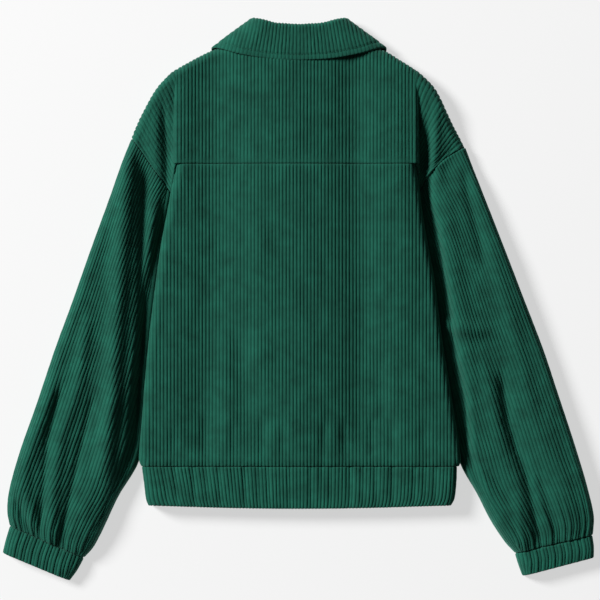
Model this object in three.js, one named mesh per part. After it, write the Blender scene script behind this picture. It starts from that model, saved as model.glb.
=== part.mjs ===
// Corduroy jacket lying face down on a flat surface, back up, sleeves beside the body.
// Millimetres. +X to the right of the back as seen from above, +Y towards the collar, +Z up.
// The origin is the middle of the footprint, on the surface.
import * as THREE from 'three';

// Cloth
const WALL = 2;
const HALF = WALL / 2;
const GAP = 0.3;
const WALE_PITCH = 4.2;
const WALE_HEIGHT = 0.9;
const STEP = 0.4;

// Levels of the wall's middle above the surface
const FRONT_LEVEL = HALF;
const BACK_LEVEL = 22;
const NECK_LEVEL = 19.5;
const LEAF_LIFT = WALL + 0.8;
const LAP_LIFT = WALL + 1.6;
const LEAF_MARGIN = 32;
const LEAF_SLOPE = 20;

// Share of a wale's height that is left in the crease beside the back's fold
const CREASE_RIB = 0.4;

// Body
const HEM_SEAM_Y = -201.7;
const YOKE_SEAM_Y = 162;
const SIDE_ROUND = 8;
const FOOT_ROUND = 3;
const CRUSH = 8;
const LAP = 15;
const PLATEAU_FADE = 22;
const BACK_ROWS = [-180, -130, -60, 40];
const BAND_ROWS = [-247.6, -240];
const NEAR_SIDE = [0, 5, 10, 15, 20];

// Buttons
const BUTTON_RADIUS = 8.5;
const BUTTON_THICK = 2.6;
const BUTTON_LIFT = BUTTON_THICK + GAP;
const BUTTON_TOP_Y = 190;
const BUTTON_STEP = 88;
const BUTTON_COUNT = 5;
const STRIP_HALF = 20;
const STRIP_SLOPE = 12;
const STRIP_END_Y = 212;
const STRIP_END_FADE = 16;

// Outer shoulders, which lie lower than the back's fold
const CLIFF_DEPTH = { left: 10, right: 15 };
const CLIFF_WIDTH = { left: 9, right: 7 };
const CLIFF_TOP_Y = 262;
const CLIFF_FULL_Y = 152;
const NECK_DIP_RUN = 15;
const NECK_END_X = 71;
const NECK_FADE = 10;
const SHOULDER_SPAN = 62;
const SHOULDER_LINE = { from: 90, to: 140 };
const SHOULDER_INSET = 12;
const YOKE_ROWS = [0, 0.15, 0.32, 0.5, 0.66, 0.8, 1];

// Sleeves and cuffs
const SLEEVE_ROUND = 11;
const TUBE_FOOT = WALL + 0.4;
const GATHER_HEIGHT = 1.3;
const GATHER_PITCH = 10;
const GATHER_FROM = 0.84;
const CUFF_GATHER = 0.8;
const BOW_FADE = 0.15;
const SEAM_BLEND = 0.1;
const INNER_ROUND = 5;
const INNER_LOW = { wide: 0.3, narrow: 0.5 };
const TROUGH_RISE = 17;
const FOLD_FADE = 12;
const RIB_FADE = 8;
const UNDER_INSET = 1.2;
const UNDER_COUNT = 9;
const SLEEVE_ROWS = [0, 0.05, 0.13, 0.26, 0.4, 0.54, 0.67, 0.8, 0.92, 1];

// How far the back reaches from the middle line to its side folds, a row for each height
const BODY = [
  { y: -202, left: 187, right: 190 },
  { y: -188, left: 190, right: 192 },
  { y: -122, left: 185, right: 182 },
  { y: -74, left: 181, right: 174 },
  { y: -26, left: 176, right: 167 },
  { y: 22, left: 170, right: 161 },
  { y: 70, left: 163, right: 152 },
  { y: 112, left: 155, right: 144.5 },
  { y: 162, left: 145, right: 138 },
];

const BAND = [
  { y: -248, left: 179, right: 181 },
  { y: -240, left: 182, right: 185 },
  { y: -224, left: 184, right: 187 },
  { y: -202, left: 187, right: 188 },
];

// Upper edge of the yoke from the middle out: neck seam, then shoulder line
const YOKE_TOP = [
  { x: 0, left: 297, right: 297 },
  { x: 30, left: 299, right: 299 },
  { x: 58, left: 304, right: 304 },
  { x: 74, left: 304.5, right: 304.5 },
  { x: 90, left: 296.5, right: 296.5 },
  { x: 104, left: 290.8, right: 290 },
  { x: 118, left: 288.5, right: 285 },
  { x: 134, left: 281, right: 276.5 },
  { x: 146, left: 274, right: 268 },
];

// Outer shoulders: fold to armhole (across 0 to 1), with the ends of each wale line
const SHOULDER = {
  left: [
    { across: 0, lowX: 145, lowY: 162.15, topX: 145.5, topY: 274.5 },
    { across: 0.12, lowX: 149.5, lowY: 162.15, topX: 154, topY: 268.5 },
    { across: 0.35, lowX: 151, lowY: 151, topX: 170, topY: 251 },
    { across: 0.7, lowX: 154, lowY: 139, topX: 188, topY: 219 },
    { across: 1, lowX: 155.9, lowY: 127.6, topX: 200.4, topY: 192.3 },
  ],
  right: [
    { across: 0, lowX: 138, lowY: 162.15, topX: 137.5, topY: 274.5 },
    { across: 0.12, lowX: 142.5, lowY: 162.15, topX: 148, topY: 266 },
    { across: 0.35, lowX: 144, lowY: 151, topX: 164, topY: 248 },
    { across: 0.7, lowX: 146, lowY: 139, topX: 184, topY: 208 },
    { across: 1, lowX: 147.4, lowY: 127.4, topX: 199.1, topY: 181.5 },
  ],
};
const ARMHOLE_BOW = { left: 0, right: 8 };
const ARMHOLE_INSET = 1.5;

// Sleeve sections from armhole to cuff seam: outer edge, inner edge, crown height,
// width of the low strip beside the body, and how much the cloth is drawn together
const SLEEVE = {
  left: [
    { at: 0, outX: 200.8, outY: 191.9, inX: 156.7, inY: 126.8, crown: 12, trough: 3, draw: 0.9 },
    { at: 0.08, outX: 211, outY: 166, inX: 163, inY: 90, crown: 15, trough: 4, draw: 0.92 },
    { at: 0.18, outX: 228, outY: 118, inX: 170.3, inY: 40, crown: 17, trough: 5, draw: 0.95 },
    { at: 0.3, outX: 250, outY: 58, inX: 178.5, inY: -22, crown: 17, trough: 5, draw: 0.97 },
    { at: 0.42, outX: 271, outY: -2, inX: 185, inY: -84, crown: 18, trough: 5, draw: 1 },
    { at: 0.55, outX: 293, outY: -62, inX: 189.8, inY: -140, crown: 18, trough: 6, draw: 1 },
    { at: 0.67, outX: 313, outY: -122, inX: 194, inY: -192, crown: 19, trough: 6, draw: 1 },
    { at: 0.79, outX: 334, outY: -182, inX: 216, inY: -238, crown: 20, trough: 2, draw: 1 },
    { at: 0.9, outX: 347.5, outY: -230, inX: 232, inY: -270, crown: 21, trough: 0, draw: 0.93 },
    { at: 0.96, outX: 350, outY: -256, inX: 247, inY: -298, crown: 18, trough: 0, draw: 0.84 },
    { at: 1, outX: 347.2, outY: -272.6, inX: 257.5, inY: -311.2, crown: 14, trough: 0, draw: 0.76 },
  ],
  right: [
    { at: 0, outX: 199.6, outY: 181, inX: 148.3, inY: 126.1, crown: 12, trough: 3, draw: 0.9 },
    { at: 0.08, outX: 211, outY: 150, inX: 153.2, inY: 85, crown: 15, trough: 14, draw: 0.92 },
    { at: 0.18, outX: 223.5, outY: 118, inX: 161.5, inY: 40, crown: 17, trough: 18, draw: 0.95 },
    { at: 0.3, outX: 247, outY: 58, inX: 170, inY: -20, crown: 18, trough: 15, draw: 0.97 },
    { at: 0.42, outX: 270, outY: -2, inX: 179.5, inY: -82, crown: 18, trough: 9, draw: 1 },
    { at: 0.55, outX: 293, outY: -62, inX: 188.8, inY: -140, crown: 18, trough: 11, draw: 1 },
    { at: 0.67, outX: 313, outY: -122, inX: 196, inY: -192, crown: 19, trough: 8, draw: 1 },
    { at: 0.79, outX: 332.5, outY: -182, inX: 216.5, inY: -236, crown: 20, trough: 2, draw: 1 },
    { at: 0.9, outX: 346.5, outY: -230, inX: 233, inY: -268, crown: 21, trough: 0, draw: 0.93 },
    { at: 0.96, outX: 353.5, outY: -262, inX: 249, inY: -292, crown: 18, trough: 0, draw: 0.84 },
    { at: 1, outX: 352.5, outY: -284, inX: 261.5, inY: -305.6, crown: 14, trough: 0, draw: 0.76 },
  ],
};

const CUFF = {
  left: [
    { at: 0, outX: 347.2, outY: -274, inX: 258.2, inY: -312.6, crown: 13, trough: 0, draw: 1 },
    { at: 0.5, outX: 351, outY: -288.5, inX: 265.5, inY: -325.5, crown: 14, trough: 0, draw: 1 },
    { at: 1, outX: 354, outY: -303, inX: 273.5, inY: -336.5, crown: 13, trough: 0, draw: 1 },
  ],
  right: [
    { at: 0, outX: 352.3, outY: -285.3, inX: 262.1, inY: -306.9, crown: 13, trough: 0, draw: 1 },
    { at: 0.5, outX: 354, outY: -298, inX: 266, inY: -320, crown: 14, trough: 0, draw: 1 },
    { at: 1, outX: 354, outY: -311.5, inX: 270.5, inY: -333.5, crown: 13, trough: 0, draw: 1 },
  ],
};

// Largest folds: a line on the plan, its height (below zero a valley) and its half width
const BACK_FOLDS = [
  { path: [[-122, 30], [-118, -20]], height: -1.6, width: 20 },
  { path: [[62, 140], [55, 20], [48, -60], [44, -120]], height: -1.6, width: 20 },
  { path: [[-68, -90], [-66, -170]], height: -1.4, width: 20 },
  { path: [[110, 120], [112, 10]], height: 1.5, width: 22 },
  { path: [[-18, 120], [-17, 20]], height: 1.2, width: 22 },
  { path: [[120, -60], [121, -140]], height: 1.4, width: 20 },
  { path: [[-109, -165], [-109, -200]], height: -1.6, width: 7 },
  { path: [[-80, -160], [-80, -200]], height: -1.5, width: 6 },
  { path: [[-44, -165], [-44, -200]], height: -1.5, width: 7 },
  { path: [[-20, -170], [-20, -200]], height: -1.4, width: 6 },
  { path: [[30, -158], [28, -200]], height: -1.7, width: 7 },
  { path: [[54, -162], [55, -200]], height: -1.6, width: 6 },
  { path: [[88, -160], [88, -200]], height: -1.5, width: 7 },
  { path: [[110, -165], [112, -200]], height: -1.6, width: 6 },
];

const BAND_FOLDS = [-150, -128, -97, -66, -38, -12, 14, 37, 61, 76, 92, 112, 138, 160];
const BAND_FOLD_DEPTH = -1.3;
const BAND_FOLD_WIDTH = 4;

const SHOULDER_FOLDS = {
  left: [{ path: [[-165, 226], [-158, 166], [-158, 130]], height: -3.5, width: 7 }],
  right: [{ path: [[162, 205], [162, 166], [168, 130]], height: 6, width: 9 }],
};

const SLEEVE_FOLDS = {
  left: [
    { path: [[-205, 178], [-217, 116], [-224, 67], [-233, 0], [-236, -60]], height: 5, width: 14 },
    { path: [[-236, -60], [-240, -112], [-249, -194]], height: 4, width: 16 },
    { path: [[-188, 172], [-191, 118], [-194, 82], [-197, -62], [-200, -140]], height: -7, width: 9 },
    { path: [[-263, -55], [-268, -98], [-277, -146], [-287, -208], [-296, -268]], height: 4, width: 11 },
    { path: [[-264, -160], [-272, -208], [-281, -278]], height: -4, width: 8 },
    { path: [[-296, -122], [-306, -194], [-313, -266]], height: -5, width: 10 },
    { path: [[-323, -184], [-328, -212], [-322, -255]], height: 3, width: 9 },
  ],
  right: [
    { path: [[198, 145], [199, 123], [217, 57]], height: -5, width: 6 },
    { path: [[205, 142], [228, 66], [244, 9], [251, -49]], height: 4, width: 13 },
    { path: [[184, -33], [208, -38]], height: 5, width: 9 },
    { path: [[236, 61], [260, -74]], height: 3, width: 16 },
    { path: [[244, -112], [256, -172], [268, -213], [274, -244], [283, -284]], height: -6, width: 8 },
    { path: [[289, -227], [304, -275]], height: -4, width: 7 },
    { path: [[227, -199], [246, -227]], height: -3, width: 9 },
    { path: [[262, -130], [286, -215], [296, -262]], height: 4, width: 11 },
  ],
};

// Half collar from the middle of the back round to the front end. Each row has the neck
// seam, the fold line, the fall's lower edge, and the step from the stand to the fall
const COLLAR = [
  { at: 0, seam: [0, 297.3, 19.5], fold: [0, 329, 20.5], edge: [0, 285.5, 26.2], step: [0, 0, 7] },
  { at: 1, seam: [30, 299.3, 19.5], fold: [28, 330, 20.5], edge: [37, 287.5, 26.2], step: [0, 0, 7] },
  { at: 2, seam: [56, 304.3, 19], fold: [44, 332, 20], edge: [72, 293.5, 26], step: [1, 1, 7] },
  { at: 3, seam: [72, 311, 15.5], fold: [53, 333, 16], edge: [95, 299, 21.5], step: [3, 3, 6] },
  { at: 4, seam: [77.5, 313, 10], fold: [56, 332, 10.5], edge: [108.5, 300, 12], step: [5, 5, 0.5] },
  { at: 5, seam: [73, 309.5, 4.6], fold: [53, 328, 4.6], edge: [108.3, 291.5, 1.1], step: [2, 2, -3.2] },
  { at: 6, seam: [62, 296, 3.8], fold: [46, 316, 3.8], edge: [97, 272, 1], step: [0, 0, -2.8] },
  { at: 7, seam: [38, 262, 3.8], fold: [26, 286, 3.8], edge: [76, 236, 1], step: [0, 0, -2.8] },
  { at: 8, seam: [9, 238, 3.8], fold: [7, 262, 3.8], edge: [46, 200, 1], step: [0, 0, -2.8] },
];
const COLLAR_TURN = 4.6;
const COLLAR_RIBS = 56;
const ROLL_SHARE = 0.3;
const LEAF_TIP = [46, 200];
const LEAF_OUTER = [104, 297];
const LEAF_FRONT = [7, 264];

// Half front panel from the hem up: its outer edge and its middle or neck edge
const FRONT = [
  { at: 0, outerY: -201.7, edgeX: -15, edgeY: -201.7 },
  { at: 0.03, outerY: -188, edgeX: -15, edgeY: -188 },
  { at: 0.16, outerY: -122, edgeX: -15, edgeY: -122 },
  { at: 0.34, outerY: -26, edgeX: -15, edgeY: -40 },
  { at: 0.5, outerY: 60, edgeX: -15, edgeY: 50 },
  { at: 0.62, outerY: 126.3, edgeX: -15, edgeY: 120 },
  { at: 0.7, outerY: 150, edgeX: -15, edgeY: 165 },
  { at: 0.78, outerY: 178, edgeX: -15, edgeY: 205 },
  { at: 0.84, outerY: 208, edgeX: 2, edgeY: 230 },
  { at: 0.9, outerY: 240, edgeX: 30, edgeY: 251 },
  { at: 0.96, outerY: 272, edgeX: 56, edgeY: 281 },
  { at: 1, outerY: 288, edgeX: 73, edgeY: 300 },
];

// Where the plain front panels are cut into facets
const FRONT_COLUMNS = [0, 0.06, 0.12, 0.17, 0.23, 0.34, 0.5, 0.66, 0.8, 0.9, 1];
const FRONT_ROWS = [0, 0.03, 0.16, 0.34, 0.5, 0.6, 0.62, 0.66, 0.7, 0.74, 0.78, 0.84, 0.9, 0.94, 0.97, 1];

const GREEN = '#12503c';
const CLOTH_ROUGHNESS = 0.95;
const BUTTON_COLOUR = '#16382d';
const BUTTON_ROUGHNESS = 0.5;

const clamp01 = (value) => Math.min(1, Math.max(0, value));
const mix = (a, b, share) => a + (b - a) * share;
const signOf = (side) => (side === 'left' ? -1 : 1);
const sideOf = (u) => (u < 0 ? 'left' : 'right');

function smooth(value) {
  const t = clamp01(value);
  return t * t * (3 - 2 * t);
}

// Smooth curve through a column of a table, read at a value of its key column
function read(table, key, column, at) {
  const last = table.length - 1;
  let i = 0;
  while (i < last - 1 && at > table[i + 1][key]) i += 1;
  const slope = (k) => {
    const a = table[Math.max(k - 1, 0)];
    const b = table[Math.min(k + 1, last)];
    return (b[column] - a[column]) / (b[key] - a[key]);
  };
  const span = table[i + 1][key] - table[i][key];
  const t = clamp01((at - table[i][key]) / span);
  const rest = 1 - t;
  return (
    table[i][column] * rest * rest * (1 + 2 * t) +
    table[i + 1][column] * t * t * (3 - 2 * t) +
    slope(i) * span * t * rest * rest -
    slope(i + 1) * span * t * t * rest
  );
}

function readPoint(table, column, at) {
  const axis = (k) => read(table.map((row) => ({ at: row.at, value: row[column][k] })), 'at', 'value', at);
  return new THREE.Vector3(axis(0), axis(1), axis(2));
}

// Height that a table of folds adds at a point of the plan
function relief(folds, x, y) {
  let sum = 0;
  for (const fold of folds) {
    let nearest = Infinity;
    for (let i = 0; i + 1 < fold.path.length; i += 1) {
      const [ax, ay] = fold.path[i];
      const [bx, by] = fold.path[i + 1];
      const length = Math.hypot(bx - ax, by - ay);
      const along = ((x - ax) * (bx - ax) + (y - ay) * (by - ay)) / length;
      const off = ((x - ax) * (by - ay) - (y - ay) * (bx - ax)) / length;
      const past = Math.max(0, -along, along - length) / 2.5;
      nearest = Math.min(nearest, Math.hypot(off, past));
    }
    sum += fold.height * Math.exp(-((nearest / fold.width) ** 2));
  }
  return sum;
}

// Wale profile: its peaks at whole pitches of the distance across the cloth
const wale = (distance) => WALE_HEIGHT * (0.5 + 0.5 * Math.cos((2 * Math.PI * distance) / WALE_PITCH));

// Distances across the cloth at each peak and valley from low to high
function waleColumns(low, high) {
  const step = WALE_PITCH / 2;
  const apart = 0.3;
  const first = Math.ceil(low / step + apart);
  const last = Math.ceil(high / step - apart) - 1;
  return [low, ...Array.from({ length: last - first + 1 }, (_, k) => (first + k) * step), high];
}

function spread(low, high, count) {
  return Array.from({ length: count + 1 }, (_, k) => mix(low, high, k / count));
}

// Plain columns between two side seams, closer together round each side fold
function plainColumns(left, right, count) {
  const inset = NEAR_SIDE[NEAR_SIDE.length - 1] + INNER_ROUND;
  const leftSide = NEAR_SIDE.map((near) => left + near);
  const rightSide = NEAR_SIDE.map((near) => right - near).reverse();
  return [...leftSide, ...spread(left + inset, right - inset, count), ...rightSide];
}

// Closed wall from an outer and an inner sheet, each a grid over the same two values.
// A sheet that is closed comes back to its first column.
function clothWall(outer, inner, closed) {
  const positions = [];
  const faces = [];
  const addSheet = (sheet, flipped) => {
    const rows = sheet.across.length;
    const index = sheet.across.map((s) =>
      sheet.down.map((t) => {
        const p = sheet.point(s, t);
        positions.push(p.x, p.y, p.z);
        return positions.length / 3 - 1;
      }),
    );
    const spans = closed ? rows : rows - 1;
    for (let i = 0; i < spans; i += 1) {
      const a = index[i];
      const b = index[(i + 1) % rows];
      for (let j = 0; j + 1 < sheet.down.length; j += 1) {
        const first = [a[j], b[j], b[j + 1]];
        const second = [a[j], b[j + 1], a[j + 1]];
        for (const face of [first, second]) faces.push(flipped ? face.reverse() : face);
      }
    }
    return index;
  };
  const join = (a, aAt, b, bAt, flipped) => {
    let i = 0;
    let j = 0;
    while (i + 1 < a.length || j + 1 < b.length) {
      const stepA = j + 1 >= b.length || (i + 1 < a.length && aAt[i + 1] <= bAt[j + 1]);
      const face = stepA ? [a[i], b[j], a[i + 1]] : [a[i], b[j], b[j + 1]];
      if (stepA) i += 1;
      else j += 1;
      faces.push(flipped ? face.reverse() : face);
    }
  };
  const out = addSheet(outer, false);
  const back = addSheet(inner, true);
  const row = (index, j) => {
    const line = index.map((column) => column[j]);
    return closed ? [...line, line[0]] : line;
  };
  const at = (sheet) => (closed ? [...sheet.across, sheet.across[0] + sheet.round] : sheet.across);
  const outLast = outer.down.length - 1;
  const backLast = inner.down.length - 1;
  join(row(out, 0), at(outer), row(back, 0), at(inner), false);
  join(row(out, outLast), at(outer), row(back, backLast), at(inner), true);
  if (!closed) {
    join(out[0], outer.down, back[0], inner.down, true);
    join(out[out.length - 1], outer.down, back[back.length - 1], inner.down, false);
  }
  const geometry = new THREE.BufferGeometry();
  geometry.setAttribute('position', new THREE.Float32BufferAttribute(positions, 3));
  const volume = faces.reduce((sum, [a, b, c]) => {
    const p = new THREE.Vector3().fromArray(positions, a * 3);
    const q = new THREE.Vector3().fromArray(positions, b * 3);
    const r = new THREE.Vector3().fromArray(positions, c * 3);
    return sum + p.dot(q.cross(r));
  }, 0);
  if (volume < 0) faces.forEach((face) => face.reverse());
  geometry.setIndex(faces.flat());
  return geometry;
}

// Point moved off a smooth sheet along its normal, which faces the side given by facing
function lifted(sheet, s, t, amount, facing, stepS, stepT) {
  const p = sheet(s, t);
  const ds = sheet(s + stepS, t).sub(sheet(s - stepS, t));
  const dt = sheet(s, t + stepT).sub(sheet(s, t - stepT));
  const normal = ds.cross(dt).normalize().multiplyScalar(facing);
  return p.addScaledVector(normal, amount);
}

// Quarter round at the edge of a raised sheet, then straight down: share 0 to 1 of its length
function edgeRun(share, depth) {
  const turn = (Math.PI / 2) * SIDE_ROUND;
  const run = share * (turn + depth - SIDE_ROUND);
  if (run > turn) return { out: SIDE_ROUND, down: SIDE_ROUND + run - turn };
  const angle = run / SIDE_ROUND;
  return { out: SIDE_ROUND * Math.sin(angle), down: SIDE_ROUND * (1 - Math.cos(angle)) };
}

// Cloth past its fitted reach is drawn together in the last stretch beside the seam
function crush(distance, reach, full) {
  const free = reach - CRUSH;
  if (distance <= free) return distance;
  return free + ((distance - free) * CRUSH) / (full - free);
}

function crushShare(distance, reach, full) {
  return distance <= reach - CRUSH ? 1 : Math.min(1, CRUSH / (full - reach + CRUSH));
}

// Section of the body from the middle of the back, over the side and in along the front
function ringPoint(run, edge) {
  const flat = edge - SIDE_ROUND;
  const turn = (Math.PI / 2) * SIDE_ROUND;
  const fall = BACK_LEVEL - SIDE_ROUND - FOOT_ROUND - FRONT_LEVEL;
  const foot = (Math.PI / 2) * FOOT_ROUND;
  if (run < flat) return { x: run, z: BACK_LEVEL };
  if (run < flat + turn) {
    const angle = (run - flat) / SIDE_ROUND;
    return { x: flat + SIDE_ROUND * Math.sin(angle), z: BACK_LEVEL - SIDE_ROUND * (1 - Math.cos(angle)) };
  }
  const below = run - flat - turn;
  if (below < fall) return { x: edge, z: BACK_LEVEL - SIDE_ROUND - below };
  if (below < fall + foot) {
    const angle = (below - fall) / FOOT_ROUND;
    const x = edge - FOOT_ROUND * (1 - Math.cos(angle));
    return { x, z: FRONT_LEVEL + FOOT_ROUND * (1 - Math.sin(angle)) };
  }
  return { x: edge - FOOT_ROUND - (below - fall - foot), z: FRONT_LEVEL };
}

const SIDE_RUN = (Math.PI / 2 - 1) * SIDE_ROUND;
const SIDE_SEAM_LEVEL = WALL + GAP;
const sideReach = (edge) => edge + SIDE_RUN + BACK_LEVEL - SIDE_ROUND - SIDE_SEAM_LEVEL;

function plateauFade(x, edge) {
  return smooth((edge - Math.abs(x)) / PLATEAU_FADE);
}

// Back panel: wales run straight from hem to yoke and pass into the side folds
function backPanel() {
  const full = {
    left: Math.max(...BODY.map((row) => sideReach(row.left))),
    right: Math.max(...BODY.map((row) => sideReach(row.right))),
  };
  const sheet = (u, y) => {
    const side = sideOf(u);
    const edge = read(BODY, 'y', side, y);
    const run = crush(Math.abs(u), sideReach(edge), full[side]);
    const below = run - edge - SIDE_RUN;
    const point = below < 0 ? ringPoint(run, edge) : { x: edge, z: BACK_LEVEL - SIDE_ROUND - below };
    const x = signOf(side) * point.x;
    return new THREE.Vector3(x, y, point.z + relief(BACK_FOLDS, x, y) * plateauFade(x, edge));
  };
  const rib = (u, y) => {
    const side = sideOf(u);
    return wale(u) * crushShare(Math.abs(u), sideReach(read(BODY, 'y', side, y)), full[side]);
  };
  const down = [HEM_SEAM_Y + GAP, ...BACK_ROWS, YOKE_SEAM_Y - GAP / 2];
  const outer = {
    across: waleColumns(-full.left, full.right),
    down,
    point: (u, y) => lifted(sheet, u, y, HALF + rib(u, y), 1, STEP, STEP),
  };
  const inner = {
    across: plainColumns(-full.left, full.right, 30),
    down,
    point: (u, y) => lifted(sheet, u, y, -HALF, 1, STEP, STEP),
  };
  return clothWall(outer, inner, false);
}

// Level of a front panel: flat on the surface, raised over the buttons, the other
// panel's edge and the collar's leaves
function frontLevel(x, y, over) {
  const stripEnd = 1 - smooth((y - STRIP_END_Y) / STRIP_END_FADE);
  const strip = (1 - smooth((Math.abs(x) - STRIP_HALF) / STRIP_SLOPE)) * stripEnd;
  const lap = over ? 1 - smooth((x - STRIP_HALF) / STRIP_SLOPE) : 0;
  const signed = (to) => {
    const dx = to[0] - LEAF_TIP[0];
    const dy = to[1] - LEAF_TIP[1];
    return ((Math.abs(x) - LEAF_TIP[0]) * dy - (y - LEAF_TIP[1]) * dx) / Math.hypot(dx, dy);
  };
  const inside = Math.min(-signed(LEAF_OUTER), signed(LEAF_FRONT));
  const leaf = smooth((inside + LEAF_MARGIN) / LEAF_SLOPE);
  return FRONT_LEVEL + BUTTON_LIFT * strip + LAP_LIFT * lap + LEAF_LIFT * leaf;
}

// Armhole seam: share 0 at the underarm to 1 at the shoulder, with a distance off the seam
function armholePoint(side, share, off) {
  const rows = SLEEVE[side];
  const low = { x: rows[0].inX, y: rows[0].inY };
  const top = { x: rows[0].outX, y: rows[0].outY };
  const length = Math.hypot(top.x - low.x, top.y - low.y);
  const nx = -(top.y - low.y) / length;
  const ny = (top.x - low.x) / length;
  const bow = ARMHOLE_BOW[side] * 4 * share * (1 - share) + off;
  return { x: mix(low.x, top.x, share) + nx * bow, y: mix(low.y, top.y, share) + ny * bow };
}

// Outer edge of the front panel at a height: side seam, armhole, shoulder line
function frontOuter(side, y) {
  const low = armholePoint(side, 0, 0);
  const top = armholePoint(side, 1, 0);
  if (y < low.y - 2) return read(BODY, 'y', side, y) + HALF;
  if (y < top.y) {
    const tries = 8;
    let share = clamp01((y - low.y) / (top.y - low.y));
    for (let k = 0; k < tries; k += 1) {
      const miss = y - armholePoint(side, share, ARMHOLE_INSET).y;
      share = clamp01(share + miss / (top.y - low.y));
    }
    return armholePoint(side, share, ARMHOLE_INSET).x;
  }
  const rows = SHOULDER[side].map((row) => ({ y: row.topY, x: row.topX })).reverse();
  const { from, to } = SHOULDER_LINE;
  const inner = YOKE_TOP.filter((row) => row.x >= from && row.x < to).reverse();
  const line = [...rows, ...inner.map((row) => ({ y: row[side], x: row.x }))];
  return read(line, 'y', 'x', y) + HALF / 2;
}

function frontPanel(side) {
  const over = side === 'right';
  const sign = signOf(side);
  const point = (s, t, off) => {
    const outerY = read(FRONT, 'at', 'outerY', t);
    const outerX = frontOuter(side, outerY);
    const x = mix(read(FRONT, 'at', 'edgeX', t), outerX, s);
    const y = mix(read(FRONT, 'at', 'edgeY', t), outerY, s);
    return new THREE.Vector3(sign * x, y, frontLevel(sign * x, y, over) + off);
  };
  const across = FRONT_COLUMNS;
  const down = FRONT_ROWS;
  const outer = { across, down, point: (s, t) => point(s, t, -HALF) };
  const inner = { across, down, point: (s, t) => point(s, t, HALF) };
  return clothWall(outer, inner, false);
}

// Level of the outer shoulder, which drops from the back's fold more and more towards the armhole
function shoulderLevel(side, x, y) {
  const past = Math.abs(x) - SHOULDER[side][0].lowX;
  const share = smooth((CLIFF_TOP_Y - y) / (CLIFF_TOP_Y - CLIFF_FULL_Y));
  const own = relief(SHOULDER_FOLDS[side], x, y) * smooth(past / PLATEAU_FADE);
  return BACK_LEVEL + own - CLIFF_DEPTH[side] * share * smooth(past / CLIFF_WIDTH[side]);
}

// Yoke: a wale line for each column, from the yoke seam or armhole up to neck or shoulder
function backYoke() {
  const fold = { left: SHOULDER.left[0].lowX, right: SHOULDER.right[0].lowX };
  const width = { left: fold.left + SHOULDER_SPAN, right: fold.right + SHOULDER_SPAN };
  const column = (u) => {
    const side = sideOf(u);
    const away = Math.abs(u);
    const edge = fold[side];
    if (away <= edge) {
      const top = [away, read(YOKE_TOP, 'x', side, away)];
      return { low: [away, YOKE_SEAM_Y + GAP / 2], top, across: 0 };
    }
    const across = Math.min(1, (away - edge) / (width[side] - edge));
    const value = (name) => read(SHOULDER[side], 'across', name, across);
    return { low: [value('lowX'), value('lowY')], top: [value('topX'), value('topY')], across };
  };
  const sheet = (u, v) => {
    const side = sideOf(u);
    const { low, top, across } = column(u);
    const drop = smooth((Math.abs(u) - NECK_END_X) / NECK_FADE);
    const endLevel = frontLevel(top[0] - SHOULDER_INSET, top[1], false) + HALF + GAP;
    const dx = top[0] - low[0];
    const dy = top[1] - low[1];
    const length = Math.hypot(dx, dy);
    const edgeStart = length - mix(NECK_DIP_RUN, SIDE_ROUND, drop);
    const straight = clamp01(v * 2) * edgeStart;
    const share = clamp01(v * 2 - 1);
    const at = (run) => [low[0] + (dx * run) / length, low[1] + (dy * run) / length];
    const flat = at(straight);
    const level = shoulderLevel(side, signOf(side) * flat[0], flat[1]);
    const round = edgeRun(share, level - endLevel);
    const out = mix(NECK_DIP_RUN * share, round.out, drop);
    const down = mix((BACK_LEVEL - NECK_LEVEL) * smooth(share), round.down, drop);
    const reach = straight + out;
    const [px, py] = at(reach);
    const along = clamp01(reach / length);
    const bow = ARMHOLE_BOW[side] * 4 * along * (1 - along) * across ** 3;
    const x = signOf(side) * (px - (bow * dy) / length);
    const y = py + (bow * dx) / length;
    return new THREE.Vector3(x, y, level - down);
  };
  const rib = (u) => {
    const side = sideOf(u);
    const near = Math.abs(u) - fold[side];
    return wale(u) * (near > 0 && near < CLIFF_WIDTH[side] ? CREASE_RIB : 1);
  };
  const past = [0, 3, 6, 11, 23, 42, SHOULDER_SPAN];
  const leftOut = past.map((more) => -fold.left - more).reverse();
  const rightOut = past.map((more) => fold.right + more);
  const middle = spread(-fold.left + INNER_ROUND, fold.right - INNER_ROUND, 30);
  const lift = (u, v, amount) => lifted(sheet, u, v, amount, 1, STEP / 2, STEP / 40);
  return clothWall(
    {
      across: waleColumns(-width.left, width.right),
      down: YOKE_ROWS,
      point: (u, v) => lift(u, v, HALF + rib(u)),
    },
    { across: [...leftOut, ...middle, ...rightOut], down: YOKE_ROWS, point: (u, v) => lift(u, v, -HALF) },
    false,
  );
}

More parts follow.
